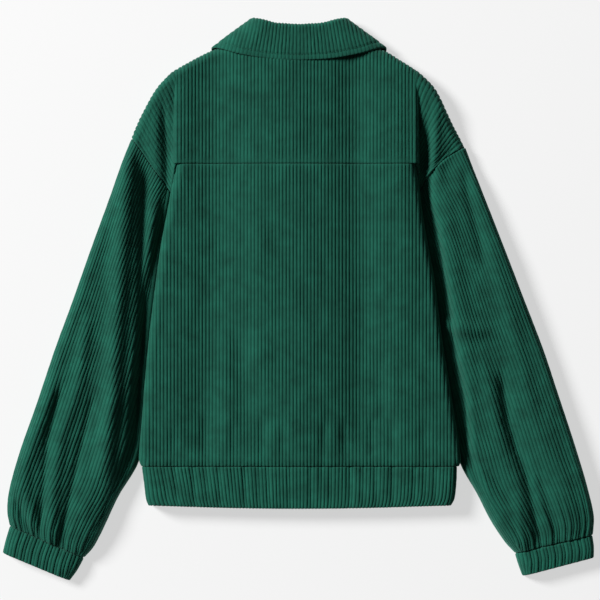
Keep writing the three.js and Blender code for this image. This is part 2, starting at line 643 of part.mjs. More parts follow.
// Sleeve or cuff: a flat-bottomed tube through sections. The top runs from the outer edge
// (distance 0) over the crown to the inner edge, and the underside lies flat
function tube(side, table, folds, spans, options) {
  const sign = signOf(side);
  const value = (name, t) => read(table, 'at', name, t);
  const section = (t) => {
    const outX = value('outX', t);
    const outY = value('outY', t);
    const inX = value('inX', t);
    const inY = value('inY', t);
    const crown = value('crown', t);
    const width = Math.hypot(outX - inX, outY - inY);
    const quarter = (Math.PI / 4) * (SLEEVE_ROUND + crown);
    return { outX, outY, inX, inY, crown, width, quarter, reach: quarter + width - SLEEVE_ROUND };
  };
  const full = Math.max(...spread(0, 1, 40).map((t) => section(t).reach / value('draw', t)));
  const plan = (cut, away, t) => {
    const share = away / cut.width;
    const bow = options.bow * 4 * share * (1 - share) * (1 - smooth(t / BOW_FADE));
    const nx = (cut.outY - cut.inY) / cut.width;
    const ny = -(cut.outX - cut.inX) / cut.width;
    const x = sign * (mix(cut.outX, cut.inX, share) - bow * nx);
    return [x, mix(cut.outY, cut.inY, share) - bow * ny];
  };
  const top = (d, t) => {
    const cut = section(t);
    const draw = value('draw', t);
    const run = crush(d * draw, cut.reach, full * draw);
    const angle = Math.min(1, run / cut.quarter) * (Math.PI / 2);
    const past = Math.max(0, run - cut.quarter);
    const away = Math.min(cut.width, SLEEVE_ROUND * (1 - Math.cos(angle)) + past);
    const inward = cut.width - away;
    const trough = value('trough', t);
    const low = trough > 0.5 ? INNER_LOW.wide : INNER_LOW.narrow;
    const wall = Math.sqrt(1 - (1 - clamp01(inward / INNER_ROUND)) ** 2);
    const rise = low * wall + (1 - low) * smooth((inward - trough) / TROUGH_RISE);
    const [x, y] = plan(cut, away, t);
    const edge = Math.sin(angle) * smooth(inward / FOLD_FADE);
    const gather = options.gather(t);
    const wave = gather * GATHER_HEIGHT * Math.cos((2 * Math.PI * d) / GATHER_PITCH);
    const own = cut.crown * Math.sin(angle) * rise + (relief(folds, x, y) + wave) * edge;
    const seam = (shoulderLevel(side, x, y) - TUBE_FOOT) * Math.sin(angle) * wall;
    const height = options.seam ? mix(seam, own, smooth(t / SEAM_BLEND)) : own;
    return new THREE.Vector3(x, y, TUBE_FOOT + height);
  };
  const under = (share, t, level) => {
    const cut = section(t);
    const [x, y] = plan(cut, mix(cut.width - UNDER_INSET, UNDER_INSET, share), t);
    return new THREE.Vector3(x, y, level);
  };
  const rib = (d, t) => {
    const draw = value('draw', t);
    return wale(d) * crushShare(d * draw, section(t).reach, full * draw) * smooth(d / RIB_FADE);
  };
  const stepT = STEP / 100;
  const lift = (d, t, amount) => {
    const dIn = Math.min(full - STEP, Math.max(STEP, d));
    const tIn = Math.min(1 - stepT, Math.max(stepT, t));
    const moved = lifted(top, dIn, tIn, amount, sign, STEP, stepT);
    return top(d, t).add(moved.sub(top(dIn, tIn)));
  };
  const turn = 4;
  const underside = section(0).width;
  const round = full + underside + 2 * turn;
  const underColumns = spread(full + turn, full + turn + underside, UNDER_COUNT);
  const point = (s, t, isOuter) => {
    if (s > full) return under((s - full - turn) / underside, t, isOuter ? 0 : WALL);
    return lift(s, t, isOuter ? HALF + rib(s, t) : -HALF);
  };
  const bends = NEAR_SIDE.slice(0, 3);
  const inset = NEAR_SIDE[3];
  const outer = {
    across: [...waleColumns(0, full), ...underColumns],
    down: spans,
    round,
    point: (s, t) => point(s, t, true),
  };
  const plain = [...bends, ...spread(inset, full - inset, options.innerColumns)];
  const inner = {
    across: [...plain, ...bends.map((near) => full - near).reverse(), ...underColumns],
    down: spans,
    round,
    point: (s, t) => point(s, t, false),
  };
  return clothWall(outer, inner, true);
}

function sleeve(side) {
  const gather = (t) => smooth((t - GATHER_FROM) / (1 - GATHER_FROM));
  const options = { bow: ARMHOLE_BOW[side], gather, innerColumns: 16, seam: true };
  return tube(side, SLEEVE[side], SLEEVE_FOLDS[side], SLEEVE_ROWS, options);
}

function cuff(side) {
  const options = { bow: 0, gather: () => CUFF_GATHER, innerColumns: 12, seam: false };
  return tube(side, CUFF[side], [], [0, 0.5, 1], options);
}

// Hem band: one strip from its front end round the back to the other end
function hemBand() {
  const edgeAt = (side, y) => read(BAND, 'y', side, y);
  const fallRun = BACK_LEVEL - SIDE_ROUND - FOOT_ROUND - FRONT_LEVEL;
  const around = (edge) => 2 * edge + SIDE_RUN + fallRun + (Math.PI / 2 - 1) * FOOT_ROUND + LAP;
  const seamEdge = { left: edgeAt('left', HEM_SEAM_Y), right: edgeAt('right', HEM_SEAM_Y) };
  const reach = { left: around(seamEdge.left), right: around(seamEdge.right) };
  const backReach = { left: sideReach(seamEdge.left), right: sideReach(seamEdge.right) };
  const sheet = (u, y) => {
    const side = sideOf(u);
    const edge = edgeAt(side, y);
    const point = ringPoint(Math.abs(u) * (around(edge) / reach[side]), edge);
    const x = signOf(side) * point.x;
    const isBack = point.z > BACK_LEVEL - 1;
    const gathers = BAND_FOLDS.map((foldX) => Math.exp(-(((x - foldX) / BAND_FOLD_WIDTH) ** 2)));
    const dent = isBack ? BAND_FOLD_DEPTH * gathers.reduce((a, b) => a + b, 0) * plateauFade(x, edge) : 0;
    const isFront = point.z < FRONT_LEVEL + 0.01;
    const raise = isFront ? frontLevel(x, y, side === 'right') - FRONT_LEVEL : 0;
    return new THREE.Vector3(x, y, point.z + dent + raise);
  };
  const down = [...BAND_ROWS, HEM_SEAM_Y - GAP / 2];
  const lapBends = [0, 8, 16, 22, 28, 36, 60];
  const front = (end, from) => {
    const bends = lapBends.map((more) => end - more);
    return [...bends, (bends[bends.length - 1] + from) / 2, from];
  };
  const foot = 2 * FOOT_ROUND;
  const leftFront = front(reach.left, backReach.left + foot).map((run) => -run);
  const rightFront = front(reach.right, backReach.right + foot).reverse();
  const outer = {
    across: [...leftFront, ...waleColumns(-backReach.left, backReach.right), ...rightFront],
    down,
    point: (u, y) => {
      const near = backReach[sideOf(u)] - Math.abs(u);
      return lifted(sheet, u, y, HALF + wale(u) * smooth((near - WALL) / RIB_FADE), 1, STEP, STEP);
    },
  };
  const inner = {
    across: [...leftFront, ...plainColumns(-backReach.left, backReach.right, 48), ...rightFront],
    down,
    point: (u, y) => lifted(sheet, u, y, -HALF, 1, STEP, STEP),
  };
  return clothWall(outer, inner, false);
}

// Places along the collar: across below zero is its left half
function collarRow(across) {
  const sign = across < 0 ? -1 : 1;
  const at = Math.abs(across);
  const turned = (column) => {
    const p = readPoint(COLLAR, column, at);
    return new THREE.Vector3(sign * p.x, p.y, p.z);
  };
  return { seam: turned('seam'), fold: turned('fold'), edge: turned('edge'), step: turned('step') };
}

function collarStand() {
  const end = COLLAR[COLLAR.length - 1].at;
  const sheet = (s, t) => {
    const row = collarRow(s);
    return row.seam.lerp(row.fold, t);
  };
  const across = [...spread(-end, -2, 16), ...spread(-1.5, 1.5, 6), ...spread(2, end, 16)];
  const step = STEP / 20;
  const down = [0, 0.5, 1];
  const side = (amount) => (s, t) => {
    const sIn = Math.min(end - step, Math.max(step - end, s));
    const moved = lifted(sheet, sIn, t, amount, 1, step, step);
    return sheet(s, t).add(moved.sub(sheet(sIn, t)));
  };
  return clothWall({ across, down, point: side(HALF) }, { across, down, point: side(-HALF) }, false);
}

// Fall of the collar: rolls over the fold line and lies on the back and on the fronts
function collarFall() {
  const end = COLLAR[COLLAR.length - 1].at;
  const sheet = (s, t) => {
    const row = collarRow(s);
    const rise = row.fold.clone().sub(row.seam).normalize();
    const turn = clamp01(t / ROLL_SHARE) * Math.PI;
    const radius = row.step.length() / 2;
    const start = row.fold.clone().addScaledVector(rise, GAP + radius * Math.sin(turn));
    start.addScaledVector(row.step, (1 - Math.cos(turn)) / 2);
    const point = start.lerp(row.edge, clamp01((t - ROLL_SHARE) / (1 - ROLL_SHARE)));
    point.z = Math.max(point.z, HALF);
    return point;
  };
  const ribStep = COLLAR_TURN / COLLAR_RIBS;
  const ribs = spread(-COLLAR_TURN, COLLAR_TURN, 2 * COLLAR_RIBS);
  const plain = [0.35, 0.75, 1.4, 2.2, 3, end - COLLAR_TURN].map((more) => COLLAR_TURN + more);
  const outerAcross = [...plain.map((s) => -s).reverse(), ...ribs, ...plain];
  const innerAcross = [...plain.map((s) => -s).reverse(), ...spread(-COLLAR_TURN, COLLAR_TURN, 30), ...plain];
  const stepS = STEP / 40;
  const stepT = STEP / 80;
  const lift = (s, t, amount) => {
    const sIn = Math.min(end - 2 * stepS, Math.max(2 * stepS - end, s));
    const tIn = Math.min(1 - stepT, Math.max(stepT, t));
    const moved = lifted(sheet, sIn, tIn, amount, -1, stepS, stepT);
    const point = sheet(s, t).add(moved.sub(sheet(sIn, tIn)));
    point.z = Math.max(point.z, 0);
    return point;
  };
  const fade = 0.6;
  const rib = (s) => {
    const isPeak = Math.round(s / ribStep) % 2 === 0;
    return isPeak ? WALE_HEIGHT * smooth((COLLAR_TURN - Math.abs(s)) / fade) : 0;
  };
  const down = [0, ROLL_SHARE / 3, (2 * ROLL_SHARE) / 3, ROLL_SHARE, 1];
  return clothWall(
    { across: outerAcross, down, point: (s, t) => lift(s, t, HALF + rib(s)) },
    { across: innerAcross, down, point: (s, t) => lift(s, t, -HALF) },
    false,
  );
}

// Plain sew-through button, its face down on the surface
function button() {
  const bevel = 0.6;
  const profile = [
    new THREE.Vector2(0, 0),
    new THREE.Vector2(BUTTON_RADIUS - bevel, 0),
    new THREE.Vector2(BUTTON_RADIUS, bevel),
    new THREE.Vector2(BUTTON_RADIUS, BUTTON_THICK - bevel),
    new THREE.Vector2(BUTTON_RADIUS - bevel, BUTTON_THICK),
    new THREE.Vector2(0, BUTTON_THICK),
  ];
  const geometry = new THREE.LatheGeometry(profile, 12);
  geometry.rotateX(Math.PI / 2);
  return geometry;
}

const jacket = new THREE.Group();

function add(name, geometry, colour, roughness) {
  const material = new THREE.MeshStandardMaterial({ color: colour, roughness, metalness: 0 });
  const mesh = new THREE.Mesh(geometry, material);
  mesh.name = name;
  jacket.add(mesh);
  return mesh;
}

add('back_panel', backPanel(), GREEN, CLOTH_ROUGHNESS);
add('back_yoke', backYoke(), GREEN, CLOTH_ROUGHNESS);
add('hem_band', hemBand(), GREEN, CLOTH_ROUGHNESS);
add('collar_stand', collarStand(), GREEN, CLOTH_ROUGHNESS);
add('collar_fall', collarFall(), GREEN, CLOTH_ROUGHNESS);
for (const side of ['left', 'right']) {
  add(`front_${side}`, frontPanel(side), GREEN, CLOTH_ROUGHNESS);
  add(`sleeve_${side}`, sleeve(side), GREEN, CLOTH_ROUGHNESS);
  add(`cuff_${side}`, cuff(side), GREEN, CLOTH_ROUGHNESS);
}
for (let k = 0; k < BUTTON_COUNT; k += 1) {
  const disc = add(`button_${k + 1}`, button(), BUTTON_COLOUR, BUTTON_ROUGHNESS);
  disc.position.set(0, BUTTON_TOP_Y - k * BUTTON_STEP, 0);
}

export default jacket;
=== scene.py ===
"""Corduroy jacket laid flat on its front, seen from straight above its back.

Lengths are millimetres until a mesh is made. +X is to the right of the back, +Y towards the
collar and +Z up. Every cloth piece is a thin shell: a smooth middle sheet, with its ribs
raised on the outside and a plain inside.
"""

import math

import bpy
import numpy as np
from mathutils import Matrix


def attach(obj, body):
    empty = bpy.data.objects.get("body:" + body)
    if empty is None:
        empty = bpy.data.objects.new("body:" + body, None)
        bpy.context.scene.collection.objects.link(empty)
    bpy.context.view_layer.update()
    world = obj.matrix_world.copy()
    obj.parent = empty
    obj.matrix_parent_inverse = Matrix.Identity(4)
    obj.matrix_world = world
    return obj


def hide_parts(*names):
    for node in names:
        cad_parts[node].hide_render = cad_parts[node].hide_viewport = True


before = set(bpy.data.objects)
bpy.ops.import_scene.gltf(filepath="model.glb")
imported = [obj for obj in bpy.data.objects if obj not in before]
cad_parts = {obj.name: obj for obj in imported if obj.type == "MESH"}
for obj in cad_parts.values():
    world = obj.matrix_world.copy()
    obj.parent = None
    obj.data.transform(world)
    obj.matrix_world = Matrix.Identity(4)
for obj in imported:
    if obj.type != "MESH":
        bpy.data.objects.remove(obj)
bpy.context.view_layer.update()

MM = 0.001

# Cloth
WALL = 2.0
HALF = WALL / 2
GAP = 0.3
WALE_PITCH = 4.2
WALE_HEIGHT = 1.0
WALE_STEPS = (-0.38, -0.2, 0.0, 0.2, 0.38, 0.5)
ROW_STEP = 4.0
STITCH_LENGTH = 2.7
STITCH_STEP = 3.6
THREAD_RADIUS = 0.26
THREAD_TONE = 0.55
TOPSTITCH_INSET = 6.5
STITCH_RISE = 0.35
TOPSTITCH_DENT = (0.8, 1.1)
ALLOWANCE = 3.0

# Levels of the wall's middle above the surface
FRONT_LEVEL = HALF
BACK_LEVEL = 22.0
NECK_LEVEL = 19.5
LEAF_LIFT = WALL + 0.8
LAP_LIFT = WALL + 1.6
LEAF_MARGIN = 32.0
LEAF_SLOPE = 20.0

# Body
HEM_SEAM_Y = -201.7
HEM_LOW_Y = -247.6
YOKE_SEAM_Y = 162.0
SIDE_ROUND = 8.0
FOOT_ROUND = 3.0
CRUSH = 8.0
LAP = 15.0
PLATEAU_FADE = 22.0
YOKE_LENGTH = 250.0
FRONT_WIDTH = 205.0

# Buttons
BUTTON_COUNT = 5
BUTTON_TOP_Y = 190.0
BUTTON_STEP = 88.0
BUTTON_RADIUS = 8.5
BUTTON_THICK = 2.6
BUTTON_DISH = 0.7
SEWING_RADIUS = 0.32
SEWING_TONE = 0.4
BUTTON_LIFT = BUTTON_THICK + GAP
STRIP_HALF = 20.0
STRIP_SLOPE = 12.0
STRIP_END_Y = 212.0

# Outer shoulders
CLIFF_DEPTH = {"left": 10.0, "right": 17.5}
VALLEY_RISE = {"left": 1.0, "right": 8.0}
VALLEY_WIDTH = 19.0
CLIFF_WIDTH = {"left": 9.0, "right": 7.0}
FOLD_ROUND = 4.0
FOLD_FALL = 5.0
SHOULDER_TUCK = 3.0
TUCK_DROP = 2.7
ARMHOLE_STITCH = 4.5
CLIFF_TOP_Y = 262.0
CLIFF_FULL_Y = 152.0
NECK_DIP_RUN = 15.0
SHOULDER_SPAN = 62.0

# Sleeves and cuffs
SLEEVE_ROUND = {"left": 11.0, "right": 7.0}
TUBE_FOOT = WALL + 0.4
TROUGH_LOW = {"left": 0.3, "right": 0.16}
TROUGH_RISE = {"left": 17.0, "right": 11.0}
FULL_LOW = 0.72
GATHER_HEIGHT = 0.6
SEAM_CREASE = 0.45
GATHER_PITCH = 10.0
SLEEVE_LENGTH = 500.0
CUFF_LENGTH = 30.0
ALLOWANCE_FALL = 1.1
UNDER_START = 4.0
UNDER_SPAN = 92.0

# Depth of the grooves between ribs where a piece rests
REST_GROOVE = {"front": 0.8, "sleeve": 0.7, "band": 0.7, "collar": 0.6}


def table(names, rows):
    """Named columns of a short table."""
    return dict(zip(names.split(), np.array(rows, float).T))


# How far the back reaches from the middle line to its side folds
BODY = table("y left right", [
    (-202, 187, 190), (-188, 190, 192), (-122, 185, 182), (-74, 181, 174), (-26, 176, 167),
    (22, 170, 161), (70, 163, 152), (112, 155, 145.2), (128, 152.2, 143.4), (162, 145, 138),
])

BAND = table("y left right", [
    (-248, 179, 181), (-240, 182, 185), (-224, 184, 187), (-202, 187, 188),
])

# Upper edge of the yoke from the middle out: neck seam, then shoulder line
YOKE_TOP = table("x left right", [
    (0, 297, 297), (30, 299, 299), (58, 304, 304), (74, 304.5, 304.5), (90, 300.5, 299.5),
    (104, 296.5, 295), (118, 290, 286.5), (134, 281, 276.5), (146, 274, 268),
])

# Outer shoulders: fold to armhole, with the ends of each wale line
SHOULDER = {
    "left": table("across low_x low_y top_x top_y", [
        (0, 145, 162.15, 145.5, 274.5), (0.12, 147.6, 161, 154, 268.5), (0.35, 149.2, 151, 170, 251),
        (0.7, 151.5, 139, 188, 219), (1, 153.9, 127.4, 200.4, 192.3),
    ]),
    "right": table("across low_x low_y top_x top_y", [
        (0, 138, 162.15, 137.5, 274.5), (0.12, 140, 161, 148, 266), (0.35, 141.8, 151, 164, 248),
        (0.7, 142.8, 139, 184, 208), (1, 144.2, 126.6, 199.1, 181.5),
    ]),
}
ARMHOLE_BOW = {"left": 0.0, "right": 8.0}
ARMHOLE_INSET = 1.5

# Sleeve sections from armhole to cuff seam
SECTION = "at out_x out_y in_x in_y crown trough draw"
SLEEVE = {
    "left": table(SECTION, [
        (0, 200.8, 191.9, 154.7, 126.6, 12, 5, 0.9), (0.08, 211, 166, 161.5, 90, 15, 6, 0.92),
        (0.18, 228, 118, 169.5, 40, 17, 7, 0.95), (0.3, 250, 58, 177.6, -22, 17, 7, 0.97),
        (0.42, 271, -2, 184, -84, 18, 7, 1), (0.55, 293, -62, 188.6, -140, 18, 7, 1),
        (0.67, 313, -122, 194, -193, 19, 7, 1), (0.79, 334, -182, 219, -238, 20, 2, 1),
        (0.9, 347.5, -230, 234.5, -271, 21, 0, 0.93), (0.96, 350, -256, 248.5, -298, 18, 0, 0.84),
        (1, 347.2, -272.6, 259.6, -311, 14, 0, 0.76),
    ]),
    "right": table(SECTION, [
        (0, 199.6, 181, 144.9, 125.4, 12, 12, 0.9), (0.08, 211, 150, 151, 85, 15, 17, 0.92),
        (0.18, 223.5, 118, 159.6, 40, 17, 17, 0.95), (0.3, 247, 58, 168.2, -20, 18, 16, 0.97),
        (0.42, 270, -2, 177.2, -82, 18, 15, 1), (0.55, 293, -62, 186.6, -140, 18, 16, 1),
        (0.67, 313, -122, 193.8, -192, 19, 12, 1), (0.79, 332.5, -182, 216.5, -236, 20, 2, 1),
        (0.9, 346.5, -230, 233, -268, 21, 0, 0.93), (0.96, 353.5, -262, 249, -292, 18, 0, 0.84),
        (1, 352.5, -284, 261.5, -305.6, 14, 0, 0.76),
    ]),
}
CUFF = {
    "left": table(SECTION, [
        (0, 347.2, -274, 260.3, -312.4, 13, 0, 1), (0.5, 352, -290, 268, -326.5, 14, 0, 1),
        (1, 356, -306, 277, -339, 13, 0, 1),
    ]),
    "right": table(SECTION, [
        (0, 352.3, -285.3, 262.1, -306.9, 13, 0, 1), (0.5, 354, -298, 266, -320, 14, 0, 1),
        (1, 354, -311.5, 270.5, -333.5, 13, 0, 1),
    ]),
}

# Folds: a line on the plan, its height (below zero a valley) and its half width
BACK_FOLDS = [
    ([(-104, 260), (-102, 60), (-106, -40), (-114, -150)], -5.1, 27),
    ([(-20, 250), (-8, 60), (0, -190)], 4.1, 46),
    ([(66, 250), (70, 110), (76, -20), (72, -190)], -5.4, 21),
    ([(126, 180), (128, 20)], 2.0, 18),
    ([(-70, -70), (-62, -170)], -2.5, 15),
    ([(-50, 110), (-46, -60)], 1.5, 15),
    ([(98, -90), (102, -190)], -2.7, 11),
    ([(-90, -60), (-86, -190)], 1.7, 11),
    ([(-113, -160), (-113, -200)], -2.5, 7),
    ([(-80, -160), (-80, -200)], -1.7, 6),
    ([(-44, -160), (-44, -200)], -2.4, 7),
    ([(-20, -170), (-20, -200)], -1.5, 6),
    ([(30, -158), (28, -200)], -2.2, 6),
    ([(54, -162), (55, -200)], -2.0, 6),
    ([(88, -160), (88, -200)], -2.5, 6),
    ([(112, -160), (112, -200)], -2.4, 6),
    ([(150, -165), (152, -200)], -1.9, 7),
    ([(-150, -172), (-152, -200)], -1.5, 7),
]
BAND_FOLDS = (-162, -150, -128, -112, -97, -66, -50, -38, -12, 14, 26, 37, 61, 76, 92, 112, 138, 150, 163)
BAND_FOLD_DEPTHS = (
    0.8, 1.2, 1.6, 0.6, 1.2, 1.7, 0.8, 1.3, 1.0, 1.5, 0.7, 1.2, 1.7, 1.0, 1.4, 1.7, 1.3, 0.8, 1.2,
)
BAND_FOLD_WIDTH = 4.0
BAND_LEAN = 0.09
HEM_DIP = 4.2
HEM_BULGE = 1.1
HEM_RELIEF = 0.4

SHOULDER_FOLDS = {
    "left": [
        ([(-160, 215), (-157, 166), (-157, 130)], -5.0, 7),
        ([(-173, 200), (-170, 150)], 2.5, 8),
        ([(-190, 190), (-181, 160)], -1.5, 7),
    ],
    "right": [
        ([(163, 215), (165, 166), (168, 130)], 3.5, 8),
        ([(150, 190), (151, 140)], -2.5, 9),
        ([(190, 190), (184, 168)], -1.5, 8),
    ],
}

SLEEVE_FOLDS = {
    "left": [
        ([(-202, 178), (-208, 130), (-211, 90), (-214, 45), (-217, -5), (-221, -60), (-224, -120),
          (-231, -190)], 10, 11),
        ([(-184, 150), (-187, 90), (-189, 20), (-191, -60), (-194, -130)], -6.5, 6.5),
        ([(-256, -40), (-264, -100), (-276, -140), (-285, -165), (-294, -222), (-299, -287)], 4.5, 8),
        ([(-300, -120), (-318, -170), (-328, -200), (-330, -226), (-318, -268)], 4, 8),
        ([(-226, -130), (-236, -165), (-243, -208), (-256, -250)], 2.5, 9),
        ([(-290, -120), (-302, -173), (-308, -250), (-313, -277)], -3.8, 6.5),
        ([(-250, -130), (-264, -188), (-276, -243), (-286, -296)], -4, 6),
        ([(-336, -250), (-327, -272)], -2.5, 5),
        ([(-238, 60), (-252, -20)], -1.2, 12),
    ],
    "right": [
        ([(200, 145), (203, 123), (220, 57)], -4, 7),
        ([(170, 150), (178, 90), (186, 40), (196, -20), (206, -80)], 2.5, 9),
        ([(234, 45), (250, -5), (256, -30), (262, -60), (268, -90), (282, -150), (293, -180)], 3.5, 11),
        ([(184, -33), (208, -38)], 5, 8),
        ([(222, -80), (232, -130), (240, -165)], 2.5, 9),
        ([(246, -112), (252, -150), (261, -180), (272, -210), (279, -240), (288, -284)], -7, 8),
        ([(292, -226), (308, -278)], -4.5, 7),
        ([(214, -196), (232, -212), (246, -232)], -3, 8),
        ([(300, -160), (318, -228), (326, -268)], 2.5, 10),
        ([(262, -250), (268, -290)], 2, 6),
    ],
}

# The point that the ribs of each outer shoulder fan out from, and the radius where they are full size
FAN = {"left": (-4.3, -131.6, 362.0), "right": (73.5, 53.5, 165.0)}

# Half collar from the middle of the back round to the front end
COLLAR = table(
    "at seam_x seam_y seam_z fold_x fold_y fold_z edge_x edge_y edge_z step_x step_y step_z", [
        (0, 0, 297.3, 19.5, 0, 323.5, 20.5, 0, 285.5, 26.2, 0, 0, 7),
        (1, 30, 299.3, 19.5, 27, 325.2, 20.5, 37, 287.5, 26.2, 0, 0, 7),
        (2, 56, 304.3, 19, 42.5, 328.6, 20, 72, 293.5, 26, 1, 1, 7),
        (3, 72, 310, 15.5, 50.5, 330, 16, 93, 299.5, 21, 3, 3, 6),
        (4, 77, 312, 10, 53, 329.5, 10.5, 104.5, 301, 12, 5, 5, 0.5),
        (5, 72.5, 308.5, 4.6, 50.5, 326, 4.6, 103.5, 292.5, 1.1, 2, 2, -3.2),
        (6, 62, 296, 3.8, 46, 316, 3.8, 97, 272, 1, 0, 0, -2.8),
        (7, 38, 262, 3.8, 26, 286, 3.8, 76, 236, 1, 0, 0, -2.8),
        (8, 9, 238, 3.8, 7, 264, 3.8, 46, 200, 1, 0, 0, -2.8),
    ],
)
COLLAR_END = 8.0
COLLAR_TURN = 4.6
COLLAR_WALES = 56
COLLAR_FAN = (562.0, 250.0)
COLLAR_STITCH = 7.5
COLLAR_DROP = 62.0
ROLL_SHARE = 0.3
LEAF_TIP = (46, 200)
LEAF_OUTER = (104, 297)
LEAF_FRONT = (7, 264)
STEP_FRONT = 4.05
COLLAR_STITCH_END = 3.2

# Half front panel from the hem up: its outer edge and its middle or neck edge
FRONT = table("at outer_y edge_x edge_y", [
    (0, -201.7, -15, -201.7), (0.03, -188, -15, -188), (0.16, -122, -15, -122), (0.34, -26, -15, -40),
    (0.5, 60, -15, 50), (0.62, 126.3, -15, 120), (0.7, 150, -15, 165), (0.78, 178, -15, 205),
    (0.84, 208, 2, 230), (0.9, 240, 30, 251), (0.96, 272, 56, 281), (1, 288, 73, 300),
])


def smooth(value):
    t = np.clip(value, 0, 1)
    return t * t * (3 - 2 * t)


def mix(a, b, share):
    return a + (b - a) * share


def sign_of(side):
    return -1 if side == "left" else 1


def read(rows, key, column, at):
    """Smooth curve through a column of a table."""
    x, v = rows[key], rows[column]
    at = np.asarray(at, float)
    last = len(x) - 1
    k = np.arange(last + 1)
    low, high = np.maximum(k - 1, 0), np.minimum(k + 1, last)
    slope = (v[high] - v[low]) / (x[high] - x[low])
    i = np.clip(np.searchsorted(x, at, side="left") - 1, 0, last - 1)
    span = x[i + 1] - x[i]
    t = np.clip((at - x[i]) / span, 0, 1)
    rest = 1 - t
    return (
        v[i] * rest * rest * (1 + 2 * t)
        + v[i + 1] * t * t * (3 - 2 * t)
        + slope[i] * span * t * rest * rest
        - slope[i + 1] * span * t * t * rest
    )


def relief(folds, x, y):
    """Height that a list of folds adds at points of the plan."""
    total = np.zeros(np.shape(x))
    for path, height, width in folds:
        nearest = np.full(np.shape(x), np.inf)
        for (ax, ay), (bx, by) in zip(path, path[1:]):
            length = math.hypot(bx - ax, by - ay)
            along = ((x - ax) * (bx - ax) + (y - ay) * (by - ay)) / length
            off = ((x - ax) * (by - ay) - (y - ay) * (bx - ax)) / length
            past = np.maximum(0, np.maximum(-along, along - length)) / 2.5
            nearest = np.minimum(nearest, np.hypot(off, past))
        total += height * np.exp(-((nearest / width) ** 2))
    return total


def ripple(seed, a, b, size_a, size_b, waves=7):
    """Even noise of about unit height over two lengths, the same each run."""
    draw = np.random.default_rng(seed)
    total = np.zeros(np.broadcast(a, b).shape)
    for _ in range(waves):
        turn, phase = draw.uniform(0, 2 * math.pi, 2)
        scale = draw.uniform(0.6, 1.5)
        along = a * math.cos(turn) / size_a + b * math.sin(turn) / size_b
        total += np.sin(2 * math.pi * scale * along + phase)
    return total / math.sqrt(waves / 2)


def wale_profile(distance):
    """Share of the rib's height, 1 on its crest and 0 in the groove."""
    off = np.abs((distance / WALE_PITCH + 0.5) % 1 - 0.5) * 2
    return np.clip(1 - off**2.4, 0, 1) ** 0.7


def wale_lines(low, high):
    """Distances across the cloth that give each rib its round top and narrow groove."""
    first, last = math.floor(low / WALE_PITCH), math.ceil(high / WALE_PITCH)
    lines = [(k + step) * WALE_PITCH for k in range(first, last + 1) for step in WALE_STEPS]
    return np.array([low] + [d for d in lines if low + 0.3 < d < high - 0.3] + [high])


def rows_between(low, high, step=ROW_STEP):
    """Rows across a piece, closer together beside its two seams."""
    near = np.array([0, 0.35, 0.9, 1.8, 3.2])
    middle = np.linspace(low + 5, high - 5, max(2, int((high - low - 10) / step) + 1))
    return np.concatenate([low + near, middle, (high - near)[::-1]])


def past_end(sheet, low, high, step):
    """The same sheet, carried on in straight lines past its two ends."""

    def longer(s, t):
        t_in = np.clip(t, low, high)
        inward = np.clip(t_in, low + step, high - step)
        point = sheet(s, t_in)
        more = (t - t_in) / np.where(t_in > (low + high) / 2, step, -step)
        return point + (point - sheet(s, inward)) * more[..., None]

    return longer


class Sheet:
    """Smooth middle sheet over s and t, with the steps that its normals are read over."""

    def __init__(self, point, s_range, t_range, steps, facing=1):
        self.point, self.s_range, self.t_range = point, s_range, t_range
        self.steps, self.facing = steps, facing

    def lifted(self, s, t, amount):
        """Points moved off the sheet along its normal."""
        step_s, step_t = self.steps
        s_in = np.clip(s, self.s_range[0] + step_s, self.s_range[1] - step_s)
        t_in = np.clip(t, self.t_range[0] + step_t, self.t_range[1] - step_t)
        ds = self.point(s_in + step_s, t_in) - self.point(s_in - step_s, t_in)
        dt = self.point(s_in, t_in + step_t) - self.point(s_in, t_in - step_t)
        normal = np.cross(ds, dt)
        normal /= np.maximum(np.linalg.norm(normal, axis=-1, keepdims=True), 1e-9)
        return self.point(s, t) + normal * self.facing * np.asarray(amount)[..., None]

    def wall(self, across, down, top, inner_across, inner_down, shade):
        """Closed wall with the given outside and a plain inside."""
        under = self.lifted(*grid(inner_across, inner_down), -HALF)
        return shell((across, down, top), (inner_across, inner_down, under), shade=shade)


def stack(x, y, z):
    return np.stack(np.broadcast_arrays(x, y, z), axis=-1).astype(float)


def grid(across, down):
    return np.meshgrid(across, down, indexing="ij")


def join_lines(a, a_at, b, b_at, flipped):
    """Triangles between two lines of vertices with places along them."""
    faces = []
    i = j = 0
    while i + 1 < len(a) or j + 1 < len(b):
        step_a = j + 1 >= len(b) or (i + 1 < len(a) and a_at[i + 1] <= b_at[j + 1])
        face = (a[i], b[j], a[i + 1]) if step_a else (a[i], b[j], b[j + 1])
        i, j = (i + 1, j) if step_a else (i, j + 1)
        faces.append(face[::-1] if flipped else face)
    return faces


